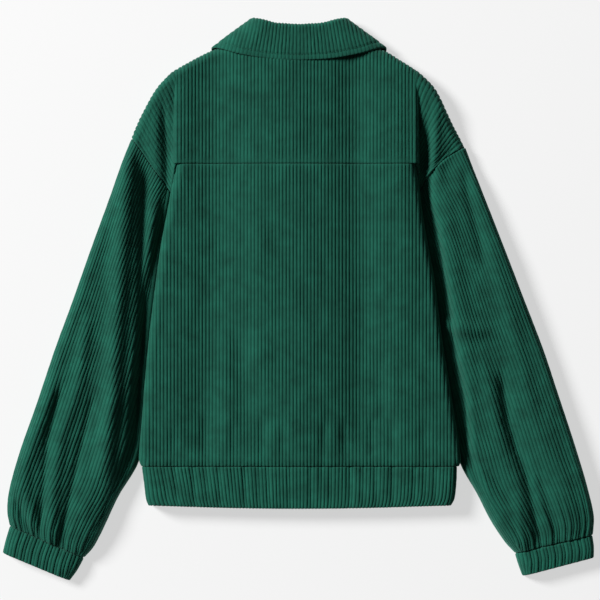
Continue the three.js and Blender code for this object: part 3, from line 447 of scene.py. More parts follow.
def shell(outer, inner, shade, closed=False):
    """Closed wall between two sheets, each (across, down, points, way round)."""
    points, faces, lines = [], [], []
    start = 0
    for sheet, flipped in ((outer, False), (inner, True)):
        across, down, p = sheet[:3]
        index = start + np.arange(p.shape[0] * p.shape[1]).reshape(p.shape[:2])
        start += index.size
        points.append(p.reshape(-1, 3))
        wrapped = np.vstack([index, index[:1]]) if closed else index
        a, b, c, d = wrapped[:-1, :-1], wrapped[1:, :-1], wrapped[1:, 1:], wrapped[:-1, 1:]
        quads = np.stack([a, b, c, d], axis=-1).reshape(-1, 4)
        faces += (quads[:, ::-1] if flipped else quads).tolist()
        at = np.append(across, across[0] + sheet[3]) if closed else across
        lines.append((wrapped, at, down))
    (out, out_at, out_down), (back, back_at, back_down) = lines
    faces += join_lines(out[:, 0], out_at, back[:, 0], back_at, False)
    faces += join_lines(out[:, -1], out_at, back[:, -1], back_at, True)
    if not closed:
        faces += join_lines(out[0], out_down, back[0], back_down, True)
        faces += join_lines(out[-1], out_down, back[-1], back_down, False)
    vertices = np.concatenate(points)
    if sum_volume(vertices, faces) < 0:
        faces = [face[::-1] for face in faces]
    # Painted shade levels: the outside takes the rib profile, which darkens its grooves; the inside is all
    # crest colour
    level = np.ones(len(vertices))
    level[: shade.size] = shade.reshape(-1)
    return vertices, faces, level


def made_piece(name, shells):
    """One object from closed meshes in millimetres, each (vertices, faces, level of painted groove shade and
    thread tone).
    """
    vertices = np.concatenate([part[0] for part in shells])
    faces = []
    start = 0
    for points, part_faces, _ in shells:
        faces += [[int(v) + start for v in face] for face in part_faces]
        start += len(points)
    mesh = bpy.data.meshes.new(name)
    mesh.from_pydata((vertices * MM).tolist(), [], faces)
    mesh.update()
    mesh.shade_smooth()
    # Vertex levels for the painted shade in the rib grooves, and for the threads' own tone
    level = np.concatenate([part[2] for part in shells])
    mesh.attributes.new("groove_shade_and_thread_tone", "FLOAT", "POINT").data.foreach_set("value", level)
    piece = bpy.data.objects.new(name, mesh)
    bpy.context.collection.objects.link(piece)
    return piece


def sum_volume(vertices, faces):
    total = 0.0
    for size in (3, 4):
        group = np.array([face for face in faces if len(face) == size], int)
        if not len(group):
            continue
        p = [vertices[group[:, k]] for k in range(size)]
        total += np.einsum("ij,ij->i", p[0], np.cross(p[1], p[2])).sum()
        if size == 4:
            total += np.einsum("ij,ij->i", p[0], np.cross(p[2], p[3])).sum()
    return total


def turned_edge(distance, depth=1.15, width=1.7):
    """How far a seamed edge rolls down at a distance from its seam."""
    return depth * (1 - np.sqrt(np.clip(1 - (1 - np.clip(distance / width, 0, 1)) ** 2, 0, 1)))


def stitch_dent(distance, depth=0.45, width=0.8):
    return depth * np.exp(-((distance / width) ** 2))


def pile_noise(seed, d, run):
    """Small changes of a rib's height along it, and from rib to rib."""
    return 0.09 * ripple(seed, d, run, 5.0, 11.0) + 0.08 * ripple(seed + 1, d, run, 23.0, 90.0)


def thread(path, radii, along, beside, sides, tone):
    """Closed tube round a path, square at each point to the direction given there."""
    turns = np.arange(sides) * 2 * math.pi / sides
    other = np.cross(beside, np.broadcast_to(along, path.shape))
    ring = np.cos(turns)[:, None] * beside + np.sin(turns)[:, None] * other[:, None]
    points = path[:, None] + np.broadcast_to(radii, len(path))[:, None, None] * ring
    faces = [
        (i + k, i + sides + k, i + sides + (k + 1) % sides, i + (k + 1) % sides)
        for i in range(0, (len(path) - 1) * sides, sides) for k in range(sides)
    ]
    last = len(path) * sides
    faces += [tuple(range(sides)), tuple(range(last - 1, last - sides - 1, -1))]
    return points.reshape(-1, 3), faces, np.full(last, tone)


def stitches(line):
    """Threads along a line of points, each dipping into the cloth at its ends."""
    steps = np.linalg.norm(np.diff(line, axis=0), axis=1)
    place = np.concatenate([[0], np.cumsum(steps)])
    parts = []
    for start in np.arange(0.5, place[-1] - STITCH_LENGTH, STITCH_STEP):
        at = start + np.array([0, 0.2, 0.5, 0.8, 1]) * STITCH_LENGTH
        centre = np.stack([np.interp(at, place, line[:, k]) for k in range(3)], axis=1)
        centre[:, 2] += THREAD_RADIUS * np.array([-1.6, -0.2, 0.2, -0.2, -1.6])
        along = (centre[-1] - centre[0]) / np.linalg.norm(centre[-1] - centre[0])
        beside = np.cross(along, (0, 0, 1))
        beside /= np.linalg.norm(beside)
        radii = THREAD_RADIUS * np.array([0.6, 1, 1, 1, 0.6])
        parts.append(thread(centre, radii, along, beside, 6, THREAD_TONE))
    return parts


# Body


def ring_point(run, edge, foot_level=FRONT_LEVEL, foot_round=FOOT_ROUND):
    """Section of the body from the middle of the back, over the side and in along the front."""
    flat = edge - SIDE_ROUND
    turn = math.pi / 2 * SIDE_ROUND
    fall = BACK_LEVEL - SIDE_ROUND - foot_round - foot_level
    foot = math.pi / 2 * foot_round
    a = np.clip((run - flat) / SIDE_ROUND, 0, math.pi / 2)
    b = np.clip(run - flat - turn, 0, fall)
    c = np.clip((run - flat - turn - fall) / max(foot_round, 1e-6), 0, math.pi / 2) if foot_round else 0
    d = np.maximum(0, run - flat - turn - fall - foot)
    x = np.minimum(run, flat) + SIDE_ROUND * np.sin(a) - foot_round * (1 - np.cos(c)) - d
    z = BACK_LEVEL - SIDE_ROUND * (1 - np.cos(a)) - b - foot_round * np.sin(c)
    return x, z


SIDE_RUN = (math.pi / 2 - 1) * SIDE_ROUND
SIDE_SEAM_LEVEL = WALL + GAP


def side_reach(edge):
    return edge + SIDE_RUN + BACK_LEVEL - SIDE_ROUND - SIDE_SEAM_LEVEL


def crush(distance, reach, full):
    free = reach - CRUSH
    squeezed = free + (distance - free) * CRUSH / (full - free)
    return np.where(distance <= free, distance, squeezed)


def crush_share(distance, reach, full):
    return np.where(distance <= reach - CRUSH, 1, np.minimum(1, CRUSH / (full - reach + CRUSH)))


def by_side(u, value):
    return np.where(u < 0, value("left"), value("right"))


def plateau_fade(x, edge):
    return smooth((edge - np.abs(x)) / PLATEAU_FADE)


def back_panel():
    full = {side: side_reach(BODY[side]).max() for side in ("left", "right")}
    top_y = YOKE_SEAM_Y - GAP / 2
    low_y = HEM_SEAM_Y + GAP

    def sheet(u, y):
        edge = by_side(u, lambda side: read(BODY, "y", side, y))
        run = crush(np.abs(u), side_reach(edge), by_side(u, lambda side: full[side]))
        x, z = ring_point(run, edge, SIDE_SEAM_LEVEL - 1, 0)
        x = np.sign(u) * x
        share = mix(HEM_RELIEF, 1, smooth((y - HEM_SEAM_Y) / 35)) * plateau_fade(x, edge)
        return stack(x, y, z + relief(BACK_FOLDS, x, y) * share)

    cloth = Sheet(sheet, (-full["left"], full["right"]), (low_y, top_y), (0.4, 0.4))
    across, down = wale_lines(*cloth.s_range), rows_between(*cloth.t_range)
    u, y = grid(across, down)
    profile = wale_profile(u)
    edge = by_side(u, lambda side: read(BODY, "y", side, y))
    share = crush_share(np.abs(u), side_reach(edge), by_side(u, lambda side: full[side]))
    rib = profile * share * (WALE_HEIGHT + pile_noise(11, u, y))
    bulge = HEM_BULGE * np.exp(-(((y - low_y - 7) / 6) ** 2)) * share
    drop = turned_edge(top_y - y) + turned_edge(y - low_y) - bulge
    flatten = 0.45 * np.exp(-((top_y - y) / 3) ** 2)
    top = cloth.lifted(u, y, HALF + rib * (1 - flatten) - drop)
    inner_across = np.concatenate([
        [-full["left"], -197, -192, -187, -182], np.linspace(-174, 174, 60),
        [182, 187, 192, 197, full["right"]],
    ])
    inner_down = np.linspace(*cloth.t_range, 24)
    wall = cloth.wall(across, down, top, inner_across, inner_down, profile)
    return made_piece("back_panel_cloth", [wall])


def front_level(x, y, over):
    """Level of a front panel: flat, and raised over buttons, the other panel and the collar."""
    strip = (1 - smooth((np.abs(x) - STRIP_HALF) / STRIP_SLOPE)) * (1 - smooth((y - STRIP_END_Y) / 16))
    lap = np.where(over, 1 - smooth((x - STRIP_HALF) / STRIP_SLOPE), 0)

    def signed(to):
        dx, dy = to[0] - LEAF_TIP[0], to[1] - LEAF_TIP[1]
        return ((np.abs(x) - LEAF_TIP[0]) * dy - (y - LEAF_TIP[1]) * dx) / math.hypot(dx, dy)

    inside = np.minimum(-signed(LEAF_OUTER), signed(LEAF_FRONT))
    leaf = smooth((inside + LEAF_MARGIN) / LEAF_SLOPE)
    return FRONT_LEVEL + BUTTON_LIFT * strip + LAP_LIFT * lap + LEAF_LIFT * leaf


def armhole_point(side, share, off):
    rows = SLEEVE[side]
    low = np.array([rows["in_x"][0], rows["in_y"][0]])
    top = np.array([rows["out_x"][0], rows["out_y"][0]])
    dx, dy = (top - low) / np.linalg.norm(top - low)
    bow = ARMHOLE_BOW[side] * 4 * share * (1 - share) + off
    return mix(low[0], top[0], share) - dy * bow, mix(low[1], top[1], share) + dx * bow


def front_outer(side, y):
    """Outer edge of the front panel at a height: side seam, armhole, shoulder line."""
    rows = SLEEVE[side]
    low_y, top_y = rows["in_y"][0], rows["out_y"][0]
    share = np.clip((y - low_y) / (top_y - low_y), 0, 1)
    for _ in range(8):
        miss = y - armhole_point(side, share, ARMHOLE_INSET * smooth(share / 0.2))[1]
        share = np.clip(share + miss / (top_y - low_y), 0, 1)
    armhole = armhole_point(side, share, ARMHOLE_INSET * smooth(share / 0.2))[0]
    shoulder = SHOULDER[side]
    inner = [k for k, x in enumerate(YOKE_TOP["x"]) if 90 <= x < 140][::-1]
    line = table("y x", list(zip(shoulder["top_y"][::-1], shoulder["top_x"][::-1]))
                 + [(YOKE_TOP[side][k], YOKE_TOP["x"][k]) for k in inner])
    above = read(line, "y", "x", y) + HALF / 2
    below = read(BODY, "y", side, y) + HALF
    return np.where(y < low_y - 2, below, np.where(y < top_y, armhole, above))


def front_panel(side):
    """Lies flat, so its ribs are cut up into the underside and it rests on their crests."""
    sign = sign_of(side)

    def place(s, t):
        outer_y = read(FRONT, "at", "outer_y", t)
        x = sign * mix(read(FRONT, "at", "edge_x", t), front_outer(side, outer_y), s)
        y = mix(read(FRONT, "at", "edge_y", t), outer_y, s)
        return x, y, front_level(x, y, side == "right")

    across = wale_lines(0, FRONT_WIDTH) / FRONT_WIDTH
    down = np.concatenate([[0, 0.001, 0.003], np.linspace(0.01, 0.99, 90), [0.997, 0.999, 1]])
    s, t = grid(across, down)
    x, y, z = place(s, t)
    profile = wale_profile(x)
    raised = REST_GROOVE["front"] * (1 - profile)
    raised = raised + turned_edge((1 - s) * FRONT_WIDTH) + turned_edge(s * FRONT_WIDTH)
    under = stack(x, y, z - HALF + raised)
    inner_across, inner_down = np.linspace(0, 1, 40), np.linspace(0, 1, 60)
    inner = stack(*place(*grid(inner_across, inner_down))) + np.array([0, 0, HALF])
    wall = shell((across, down, under), (inner_across, inner_down, inner), profile)
    return made_piece(f"front_{side}_cloth", [wall])


# Yoke


def shoulder_level(side, away, y):
    """Level of an outer shoulder at a distance from the middle line."""
    past = away - SHOULDER[side]["low_x"][0]
    depth = CLIFF_DEPTH[side] * smooth((CLIFF_TOP_Y - y) / (CLIFF_TOP_Y - CLIFF_FULL_Y))
    folds = relief(SHOULDER_FOLDS[side], sign_of(side) * away, y) * smooth(past / PLATEAU_FADE)
    rise = VALLEY_RISE[side] * smooth((past - VALLEY_WIDTH) / 10) * depth / CLIFF_DEPTH[side]
    return BACK_LEVEL + folds - depth * smooth(past / CLIFF_WIDTH[side]) + rise


def yoke_half(side, away, v, outside):
    """Half yoke, from its seam at v = 0 over the shoulder at v = 1; outside is its outer shoulder."""
    fold = SHOULDER[side]["low_x"][0]
    past = away - fold
    across = np.clip(past / SHOULDER_SPAN, 0, 1) if outside else np.zeros(np.shape(away))
    inner = np.minimum(away, fold)
    if outside:
        low_x, low_y, top_x, top_y = (
            read(SHOULDER[side], "across", name, across) for name in ("low_x", "low_y", "top_x", "top_y")
        )
        low_x, top_x = low_x + np.minimum(0, past), top_x + np.minimum(0, past)
    else:
        low_x, low_y, top_x, top_y = inner, YOKE_SEAM_Y + GAP / 2, inner, read(YOKE_TOP, "x", side, inner)
    drop = smooth((away - 71) / 10)
    end_level = front_level(top_x - 12, top_y, False) + HALF + GAP
    dx, dy = top_x - low_x, top_y - low_y
    length = np.hypot(dx, dy)
    straight = np.clip(v * 2, 0, 1) * (length - mix(NECK_DIP_RUN, SIDE_ROUND, drop))
    share = np.clip(v * 2 - 1, 0, 1)
    flat_x, flat_y = low_x + dx * straight / length, low_y + dy * straight / length
    if outside:
        lower = TUCK_DROP * (1 - smooth((past - 3) / 12)) * smooth((262 - flat_y) / 22)
        level = shoulder_level(side, flat_x, flat_y) - lower
    else:
        level = BACK_LEVEL + relief(BACK_FOLDS, sign_of(side) * flat_x, flat_y) * smooth(-past / PLATEAU_FADE)
    turn = math.pi / 2 * SIDE_ROUND
    run = share * (turn + level - end_level - SIDE_ROUND)
    angle = np.clip(run / SIDE_ROUND, 0, math.pi / 2)
    round_out = SIDE_ROUND * np.sin(angle)
    round_down = SIDE_ROUND * (1 - np.cos(angle)) + np.maximum(0, run - turn)
    out = mix(NECK_DIP_RUN * share, round_out, drop)
    down = mix((BACK_LEVEL - NECK_LEVEL) * smooth(share), round_down, drop)
    reach = straight + out
    bow = ARMHOLE_BOW[side] * 4 * (straight / length) * (1 - straight / length) * across**3
    x = low_x + (dx * reach - bow * dy) / length
    y = low_y + (dy * reach + bow * dx) / length
    if not outside:
        roll = np.clip(past / FOLD_ROUND, 0, math.pi / 2)
        x = x + FOLD_ROUND * np.sin(roll)
        y = y - FOLD_ROUND * np.sin(roll) * smooth((flat_y - 235) / 30)
        fall = FOLD_ROUND * (1 - np.cos(roll)) + np.maximum(0, past - math.pi / 2 * FOLD_ROUND)
        down = down + fall * (1 - share)
    return stack(sign_of(side) * x, y, level - down)


def yoke_sheet(u, v):
    left, right = yoke_half("left", np.abs(u), v, False), yoke_half("right", np.abs(u), v, False)
    return np.where((u < 0)[..., None], left, right)


def yoke_centre():
    width = {
        side: SHOULDER[side]["low_x"][0] + math.pi / 2 * FOLD_ROUND + FOLD_FALL for side in ("left", "right")
    }
    cloth = Sheet(yoke_sheet, (-width["left"], width["right"]), (0.0, 1.0), (0.2, 0.004))
    across = wale_lines(*cloth.s_range)
    low = rows_between(0, YOKE_LENGTH / 2, 3.2)[:-5] / YOKE_LENGTH
    down = np.concatenate([low[low < 0.497], np.linspace(0.5, 1, 22)])
    u, v = grid(across, down)
    profile, from_seam = wale_profile(u), v * YOKE_LENGTH
    rib = profile * (WALE_HEIGHT + pile_noise(21, u, from_seam))
    drop = turned_edge(from_seam, 1.0) + stitch_dent(from_seam - TOPSTITCH_INSET, *TOPSTITCH_DENT)
    flatten = 0.45 * smooth((TOPSTITCH_INSET + 1.5 - from_seam) / 2.5)
    lap = 0.5 * smooth(1.3 - from_seam / 9)
    top = cloth.lifted(u, v, HALF + rib * (1 - flatten) - drop + lap)
    inner_across = np.concatenate([
        np.linspace(-width["left"], -146, 8), np.linspace(-138, 132, 50), np.linspace(139, width["right"], 8),
    ])
    run = np.linspace(-SHOULDER["left"]["low_x"][0] - 2, SHOULDER["right"]["low_x"][0] + 2, 300)
    line = cloth.lifted(run, np.full(run.shape, TOPSTITCH_INSET / YOKE_LENGTH), HALF + STITCH_RISE)
    return [cloth.wall(across, down, top, inner_across, np.linspace(0, 1, 26), profile)] + stitches(line)


def outer_shoulder(side):
    """Ribs run slantwise here, so the grid is fine and square to the armhole."""
    fold, sign = SHOULDER[side]["low_x"][0], sign_of(side)

    def sheet(s, t):
        return yoke_half(side, s, t, True)

    cloth = Sheet(sheet, (fold - SHOULDER_TUCK, fold + SHOULDER_SPAN), (0.0, 1.0), (0.2, 0.004), sign)
    across = np.linspace(*cloth.s_range, 116)
    down = np.concatenate([[0, 0.001, 0.003, 0.006], np.linspace(0.01, 0.5, 200), np.linspace(0.503, 1, 44)])
    s, t = grid(across, down)
    flat = sheet(s, t)
    centre_x, centre_y, radius = FAN[side]
    phase = np.arctan2(sign * flat[..., 0] - centre_x, flat[..., 1] - centre_y) * radius
    profile = wale_profile(phase)
    armhole = np.linalg.norm(flat - flat[-1:], axis=-1)
    from_seam = np.linalg.norm(flat - flat[:, :1], axis=-1)
    rib = profile * (WALE_HEIGHT + pile_noise(25, phase, t * YOKE_LENGTH)) * smooth((s - fold + 1.5) / 3)
    drop = turned_edge(from_seam, 1.0) + turned_edge(armhole) + stitch_dent(armhole - ARMHOLE_STITCH)
    flatten = 0.4 * np.exp(-((armhole - ARMHOLE_STITCH) / 2.5) ** 2)
    top = cloth.lifted(s, t, HALF + rib * (1 - flatten) - drop)
    place = np.abs(armhole - ARMHOLE_STITCH).argmin(axis=0)
    line = top[place, np.arange(len(down))][(down > 0.03) & (down < 0.5)][::6]
    inner_across, inner_down = np.linspace(*cloth.s_range, 18), np.linspace(0, 1, 26)
    return [cloth.wall(across, down, top, inner_across, inner_down, profile)] + stitches(line)


def back_yoke():
    parts = yoke_centre() + outer_shoulder("left") + outer_shoulder("right")
    return made_piece("back_yoke_cloth", parts)


# Sleeves and cuffs


class Tube:
    """Flat-bottomed tube through sections, ribbed along its length."""

    def __init__(self, side, rows, folds, bow, gather, gather_from, seam):
        self.side, self.rows, self.folds = side, rows, folds
        self.sign = sign_of(side)
        self.round = SLEEVE_ROUND[side]
        self.bow, self.gather, self.gather_from, self.seam = bow, gather, gather_from, seam
        t = np.linspace(0, 1, 41)
        self.full = (self.section(t)["reach"] / self.value("draw", t)).max()

    def value(self, name, t):
        return read(self.rows, "at", name, t)

    def section(self, t):
        s = {name: self.value(name, t) for name in ("out_x", "out_y", "in_x", "in_y", "crown")}
        s["width"] = np.hypot(s["out_x"] - s["in_x"], s["out_y"] - s["in_y"])
        s["quarter"] = math.pi / 4 * (self.round + s["crown"])
        s["reach"] = s["quarter"] + s["width"] - self.round
        return s

    def plan(self, s, away, t):
        share = away / s["width"]
        bow = self.bow * 4 * share * (1 - share) * (1 - smooth(t / 0.15))
        x = mix(s["out_x"], s["in_x"], share) - bow * (s["out_y"] - s["in_y"]) / s["width"]
        y = mix(s["out_y"], s["in_y"], share) + bow * (s["out_x"] - s["in_x"]) / s["width"]
        return self.sign * x, y

    def top(self, d, t):
        s = self.section(t)
        draw = self.value("draw", t)
        run = crush(d * draw, s["reach"], self.full * draw)
        angle = np.clip(run / s["quarter"], 0, 1) * math.pi / 2
        away = self.round * (1 - np.cos(angle)) + np.maximum(0, run - s["quarter"])
        away = np.minimum(s["width"], away)
        inward = s["width"] - away
        trough = self.value("trough", t)
        low = mix(TROUGH_LOW[self.side], FULL_LOW, smooth((t - 0.6) / 0.18)) if self.seam else FULL_LOW
        wall = np.sqrt(1 - (1 - np.clip(inward / 5, 0, 1)) ** 2)
        rise = low * wall + (1 - low) * smooth((inward - trough) / TROUGH_RISE[self.side])
        x, y = self.plan(s, away, t)
        edge = np.sin(angle) * smooth(inward / 12)
        gather = self.gather * smooth((t - self.gather_from) / (1.001 - self.gather_from))
        wave = gather * GATHER_HEIGHT * np.cos(2 * math.pi * d / GATHER_PITCH)
        folds = relief(self.folds, x, y)
        folds = folds * np.where(folds < 0, mix(1, SEAM_CREASE, smooth((t - 0.96) / 0.04)), 1)
        own = s["crown"] * np.sin(angle) * rise + (folds + wave) * edge
        own = np.maximum(own, 0)
        if self.seam:
            start = (shoulder_level(self.side, self.sign * x, y) - TUBE_FOOT) * np.sin(angle) * wall
            own = mix(start, own, smooth(t / 0.1))
        return stack(x, y, TUBE_FOOT + own)

    def under(self, share, t, level):
        s = self.section(t)
        x, y = self.plan(s, mix(s["width"] - 1.2, 1.2, share), t)
        return stack(x, y, level)

    def build(self, name, down, length, seed):
        full, sign = self.full, self.sign
        cloth = Sheet(past_end(self.top, 0.0, 1.0, 0.004), (0.0, full), (0.0, 1.0), (0.5, 0.004), sign)
        across = wale_lines(0, full)
        d, t = grid(across, down)
        s = self.section(t)
        draw = self.value("draw", t)
        share = crush_share(d * draw, s["reach"], full * draw) * smooth(d / 8)
        rib = wale_profile(d) * share * (WALE_HEIGHT + pile_noise(seed, d, t * length))
        beyond = np.maximum(0, np.maximum(-t, t - 1)) * length
        drop = turned_edge(np.minimum(t, 1 - t) * length)
        drop = drop + ALLOWANCE_FALL * beyond * smooth(d / 14) * smooth((full - d) / 8)
        top = cloth.lifted(d, t, HALF + rib - drop)
        top[..., 2] = np.maximum(top[..., 2], 0)

        under_share = np.linspace(0, 1, int(full / WALE_PITCH) * 4)
        us, ut = grid(under_share, np.clip(down, (-1.2 if self.seam else -0.6) / length, 1 + 0.6 / length))
        profile = wale_profile(us * full)
        lower = past_end(lambda s, t: self.under(s, t, 0.0 * t), 0.0, 1.0, 0.004)(us, ut)
        edge = turned_edge(np.minimum(ut, 1 - ut) * length)
        lower[..., 2] = REST_GROOVE["sleeve"] * (1 - profile) + edge

        inner_across = np.concatenate([
            [0, 4, 8, 12], np.linspace(18, full - 14, 30), [full - 9, full - 5, full],
        ])
        inner_down, inner_share = np.linspace(0, 1, 30), np.linspace(0, 1, 16)
        inner_top = cloth.lifted(*grid(inner_across, inner_down), -HALF)
        inner_low = self.under(*grid(inner_share, inner_down), WALL)

        def around(at, under_at):
            return np.append(at, full + UNDER_START + under_at * UNDER_SPAN)

        once = full + UNDER_START + UNDER_SPAN + UNDER_START
        outer = (around(across, under_share), down, np.concatenate([top, lower]), once)
        inner = (around(inner_across, inner_share), inner_down, np.concatenate([inner_top, inner_low]), once)
        shade = np.concatenate([wale_profile(d), profile])
        return made_piece(name, [shell(outer, inner, shade, closed=True)])


def sleeve(side):
    tube = Tube(side, SLEEVE[side], SLEEVE_FOLDS[side], ARMHOLE_BOW[side], 1.0, 0.84, True)
    inside = rows_between(0, SLEEVE_LENGTH) / SLEEVE_LENGTH
    more = ALLOWANCE / SLEEVE_LENGTH
    down = np.concatenate([[-more, -more / 2], inside, [1 + more / 2, 1 + more]])
    return tube.build(f"sleeve_{side}_cloth", down, SLEEVE_LENGTH, 31 if side == "left" else 41)


def cuff(side):
    tube = Tube(side, CUFF[side], [], 0.0, 0.8, -4.0, False)
    more = ALLOWANCE / CUFF_LENGTH
    down = np.concatenate([[-more, -more / 2], rows_between(0, CUFF_LENGTH, 2.0) / CUFF_LENGTH])
    return tube.build(f"cuff_{side}_cloth", down, CUFF_LENGTH, 51 if side == "left" else 61)


# Hem band


def hem_band():
    fall = BACK_LEVEL - SIDE_ROUND - FOOT_ROUND - FRONT_LEVEL

    def around(edge):
        return edge + SIDE_RUN + fall + math.pi / 2 * FOOT_ROUND + edge - FOOT_ROUND + LAP

    full = {side: around(BAND[side][-1]) for side in ("left", "right")}

    def sheet(u, y):
        edge = by_side(u, lambda side: read(BAND, "y", side, y))
        x, z = ring_point(np.abs(u) * around(edge) / by_side(u, lambda side: full[side]), edge)
        x = np.sign(u) * x
        dent = sum(
            depth * np.exp(-(((x - fold) / BAND_FOLD_WIDTH) ** 2))
            for fold, depth in zip(BAND_FOLDS, BAND_FOLD_DEPTHS)
        )
        on_top = np.where(z > BACK_LEVEL - 1, plateau_fade(x, edge), 0)
        dent = -dent * on_top * smooth((y - BAND["y"][0] + 14) / 30)
        dent = dent + HEM_RELIEF * relief(BACK_FOLDS, x, 0 * y + HEM_SEAM_Y) * on_top * smooth((y + 237) / 34)
        x = x + BAND_LEAN * (HEM_SEAM_Y - y) * np.clip(-x / 150, 0, 1) * on_top
        dip = HEM_DIP * np.clip(1 - (x / 192) ** 2, 0, 1) ** 1.3
        y = y - dip * (HEM_SEAM_Y - y) / (HEM_SEAM_Y - BAND["y"][0])
        raised = np.where(z < FRONT_LEVEL + 0.01, front_level(x, y, u > 0) - FRONT_LEVEL, 0)
        return stack(x, y, z + dent + raised)

    cloth = Sheet(sheet, (-full["left"], full["right"]), (HEM_LOW_Y, HEM_SEAM_Y - GAP / 2), (0.4, 0.4))
    across, down = wale_lines(*cloth.s_range), rows_between(*cloth.t_range, 2.6)
    u, y = grid(across, down)
    on_back = smooth((sheet(u, y)[..., 2] - 2.5) / 4)
    profile = wale_profile(u)
    rib = profile * (WALE_HEIGHT + pile_noise(71, u, y)) * on_back
    rib = rib - REST_GROOVE["band"] * (1 - profile) * (1 - on_back)
    drop = turned_edge(cloth.t_range[1] - y) + turned_edge(y - HEM_LOW_Y, 1.4, 2.2)
    top = cloth.lifted(u, y, HALF + rib - drop)
    top[..., 1] -= 0.7 * profile * np.exp((HEM_LOW_Y - y) / 2.5)
    inner_across = np.concatenate([
        np.linspace(-full["left"], -206, 60), np.linspace(-203, -182, 9), np.linspace(-176, 176, 90),
        np.linspace(182, 203, 9), np.linspace(206, full["right"], 60),
    ])
    wall = cloth.wall(across, down, top, inner_across, np.linspace(*cloth.t_range, 6), profile)
    return made_piece("hem_band_cloth", [wall])


# Collar


def collar_row(across):
    at = np.abs(across)
    sign = np.where(across < 0, -1.0, 1.0)

    def point(column):
        return stack(*(read(COLLAR, "at", f"{column}_{axis}", at) for axis in "xyz"))

    rows = {column: point(column) for column in ("seam", "fold", "edge", "step")}
    for p in rows.values():
        p[..., 0] *= sign
    return rows


def stand_sheet(s, t):
    row = collar_row(s)
    return mix(row["seam"], row["fold"], t[..., None])


def fall_sheet(s, t):
    row = collar_row(s)
    rise = row["fold"] - row["seam"]
    rise /= np.linalg.norm(rise, axis=-1, keepdims=True)
    turn = (np.clip(t / ROLL_SHARE, 0, 1) * math.pi)[..., None]
    radius = np.linalg.norm(row["step"], axis=-1, keepdims=True) / 2
    start = row["fold"] + rise * (GAP + radius * np.sin(turn)) + row["step"] * (1 - np.cos(turn)) / 2
    point = mix(start, row["edge"], np.clip((t - ROLL_SHARE) / (1 - ROLL_SHARE), 0, 1)[..., None])
    point[..., 2] = np.maximum(point[..., 2], HALF)
    return point


def collar_stand():
    cloth = Sheet(stand_sheet, (-COLLAR_END, COLLAR_END), (0.0, 1.0), (0.02, 0.02))
    step = COLLAR_TURN / COLLAR_WALES
    across = np.arange(-COLLAR_END, COLLAR_END + 1e-6, step / 2)
    across[-1] = COLLAR_END
    down = np.linspace(0, 1, 14)
    s, t = grid(across, down)
    profile = wale_profile(s / step * WALE_PITCH)
    top = cloth.lifted(s, t, HALF + 0.25 * profile)
    wall = cloth.wall(across, down, top, np.linspace(-COLLAR_END, COLLAR_END, 90), down, profile)
    return made_piece("collar_stand_cloth", [wall])


def collar_fall():
    cloth = Sheet(fall_sheet, (-COLLAR_END, COLLAR_END), (0.0, 1.0), (0.01, 0.005), -1)
    across = np.linspace(-COLLAR_END, COLLAR_END, 1150)
    down = np.concatenate([
        np.linspace(0, ROLL_SHARE, 14), np.linspace(0.32, 0.94, 30), [0.96, 0.975, 0.985, 0.993, 1],
    ])
    s, t = grid(across, down)
    base = fall_sheet(s, t)
    fan_y, radius = COLLAR_FAN
    slanted = np.arctan2(base[..., 0], fan_y - base[..., 1]) * radius
    phase = np.where(np.abs(s) < STEP_FRONT, slanted, s * WALE_PITCH * COLLAR_WALES / COLLAR_TURN)
    profile = wale_profile(phase)
    off_floor = smooth((base[..., 2] - 2.2) / 2.5)
    from_edge = (1 - t) * COLLAR_DROP
    rib = profile * (WALE_HEIGHT + pile_noise(81, phase, t * COLLAR_DROP)) * off_floor
    rib = rib - REST_GROOVE["collar"] * (1 - profile) * (1 - off_floor)
    flatten = 0.45 * smooth((COLLAR_STITCH + 1.5 - from_edge) / 2.5)
    drop = turned_edge(from_edge, 1.2, 2.0)
    drop = drop + stitch_dent(from_edge - COLLAR_STITCH, *TOPSTITCH_DENT) * off_floor
    drop = drop + turned_edge((s + COLLAR_END) * 30) + turned_edge((COLLAR_END - s) * 30)
    top = cloth.lifted(s, t, HALF + rib * (1 - flatten) - drop)
    top[..., 2] = np.maximum(top[..., 2], 0)
    run = np.linspace(-COLLAR_STITCH_END, COLLAR_STITCH_END, 240)
    line = cloth.lifted(run, np.full(run.shape, 1 - COLLAR_STITCH / COLLAR_DROP), HALF + STITCH_RISE)
    inner_across = np.linspace(-COLLAR_END, COLLAR_END, 120)
    wall = cloth.wall(across, down, top, inner_across, np.linspace(0, 1, 24), profile)
    return made_piece("collar_fall_cloth", [wall] + stitches(line))


# Buttons


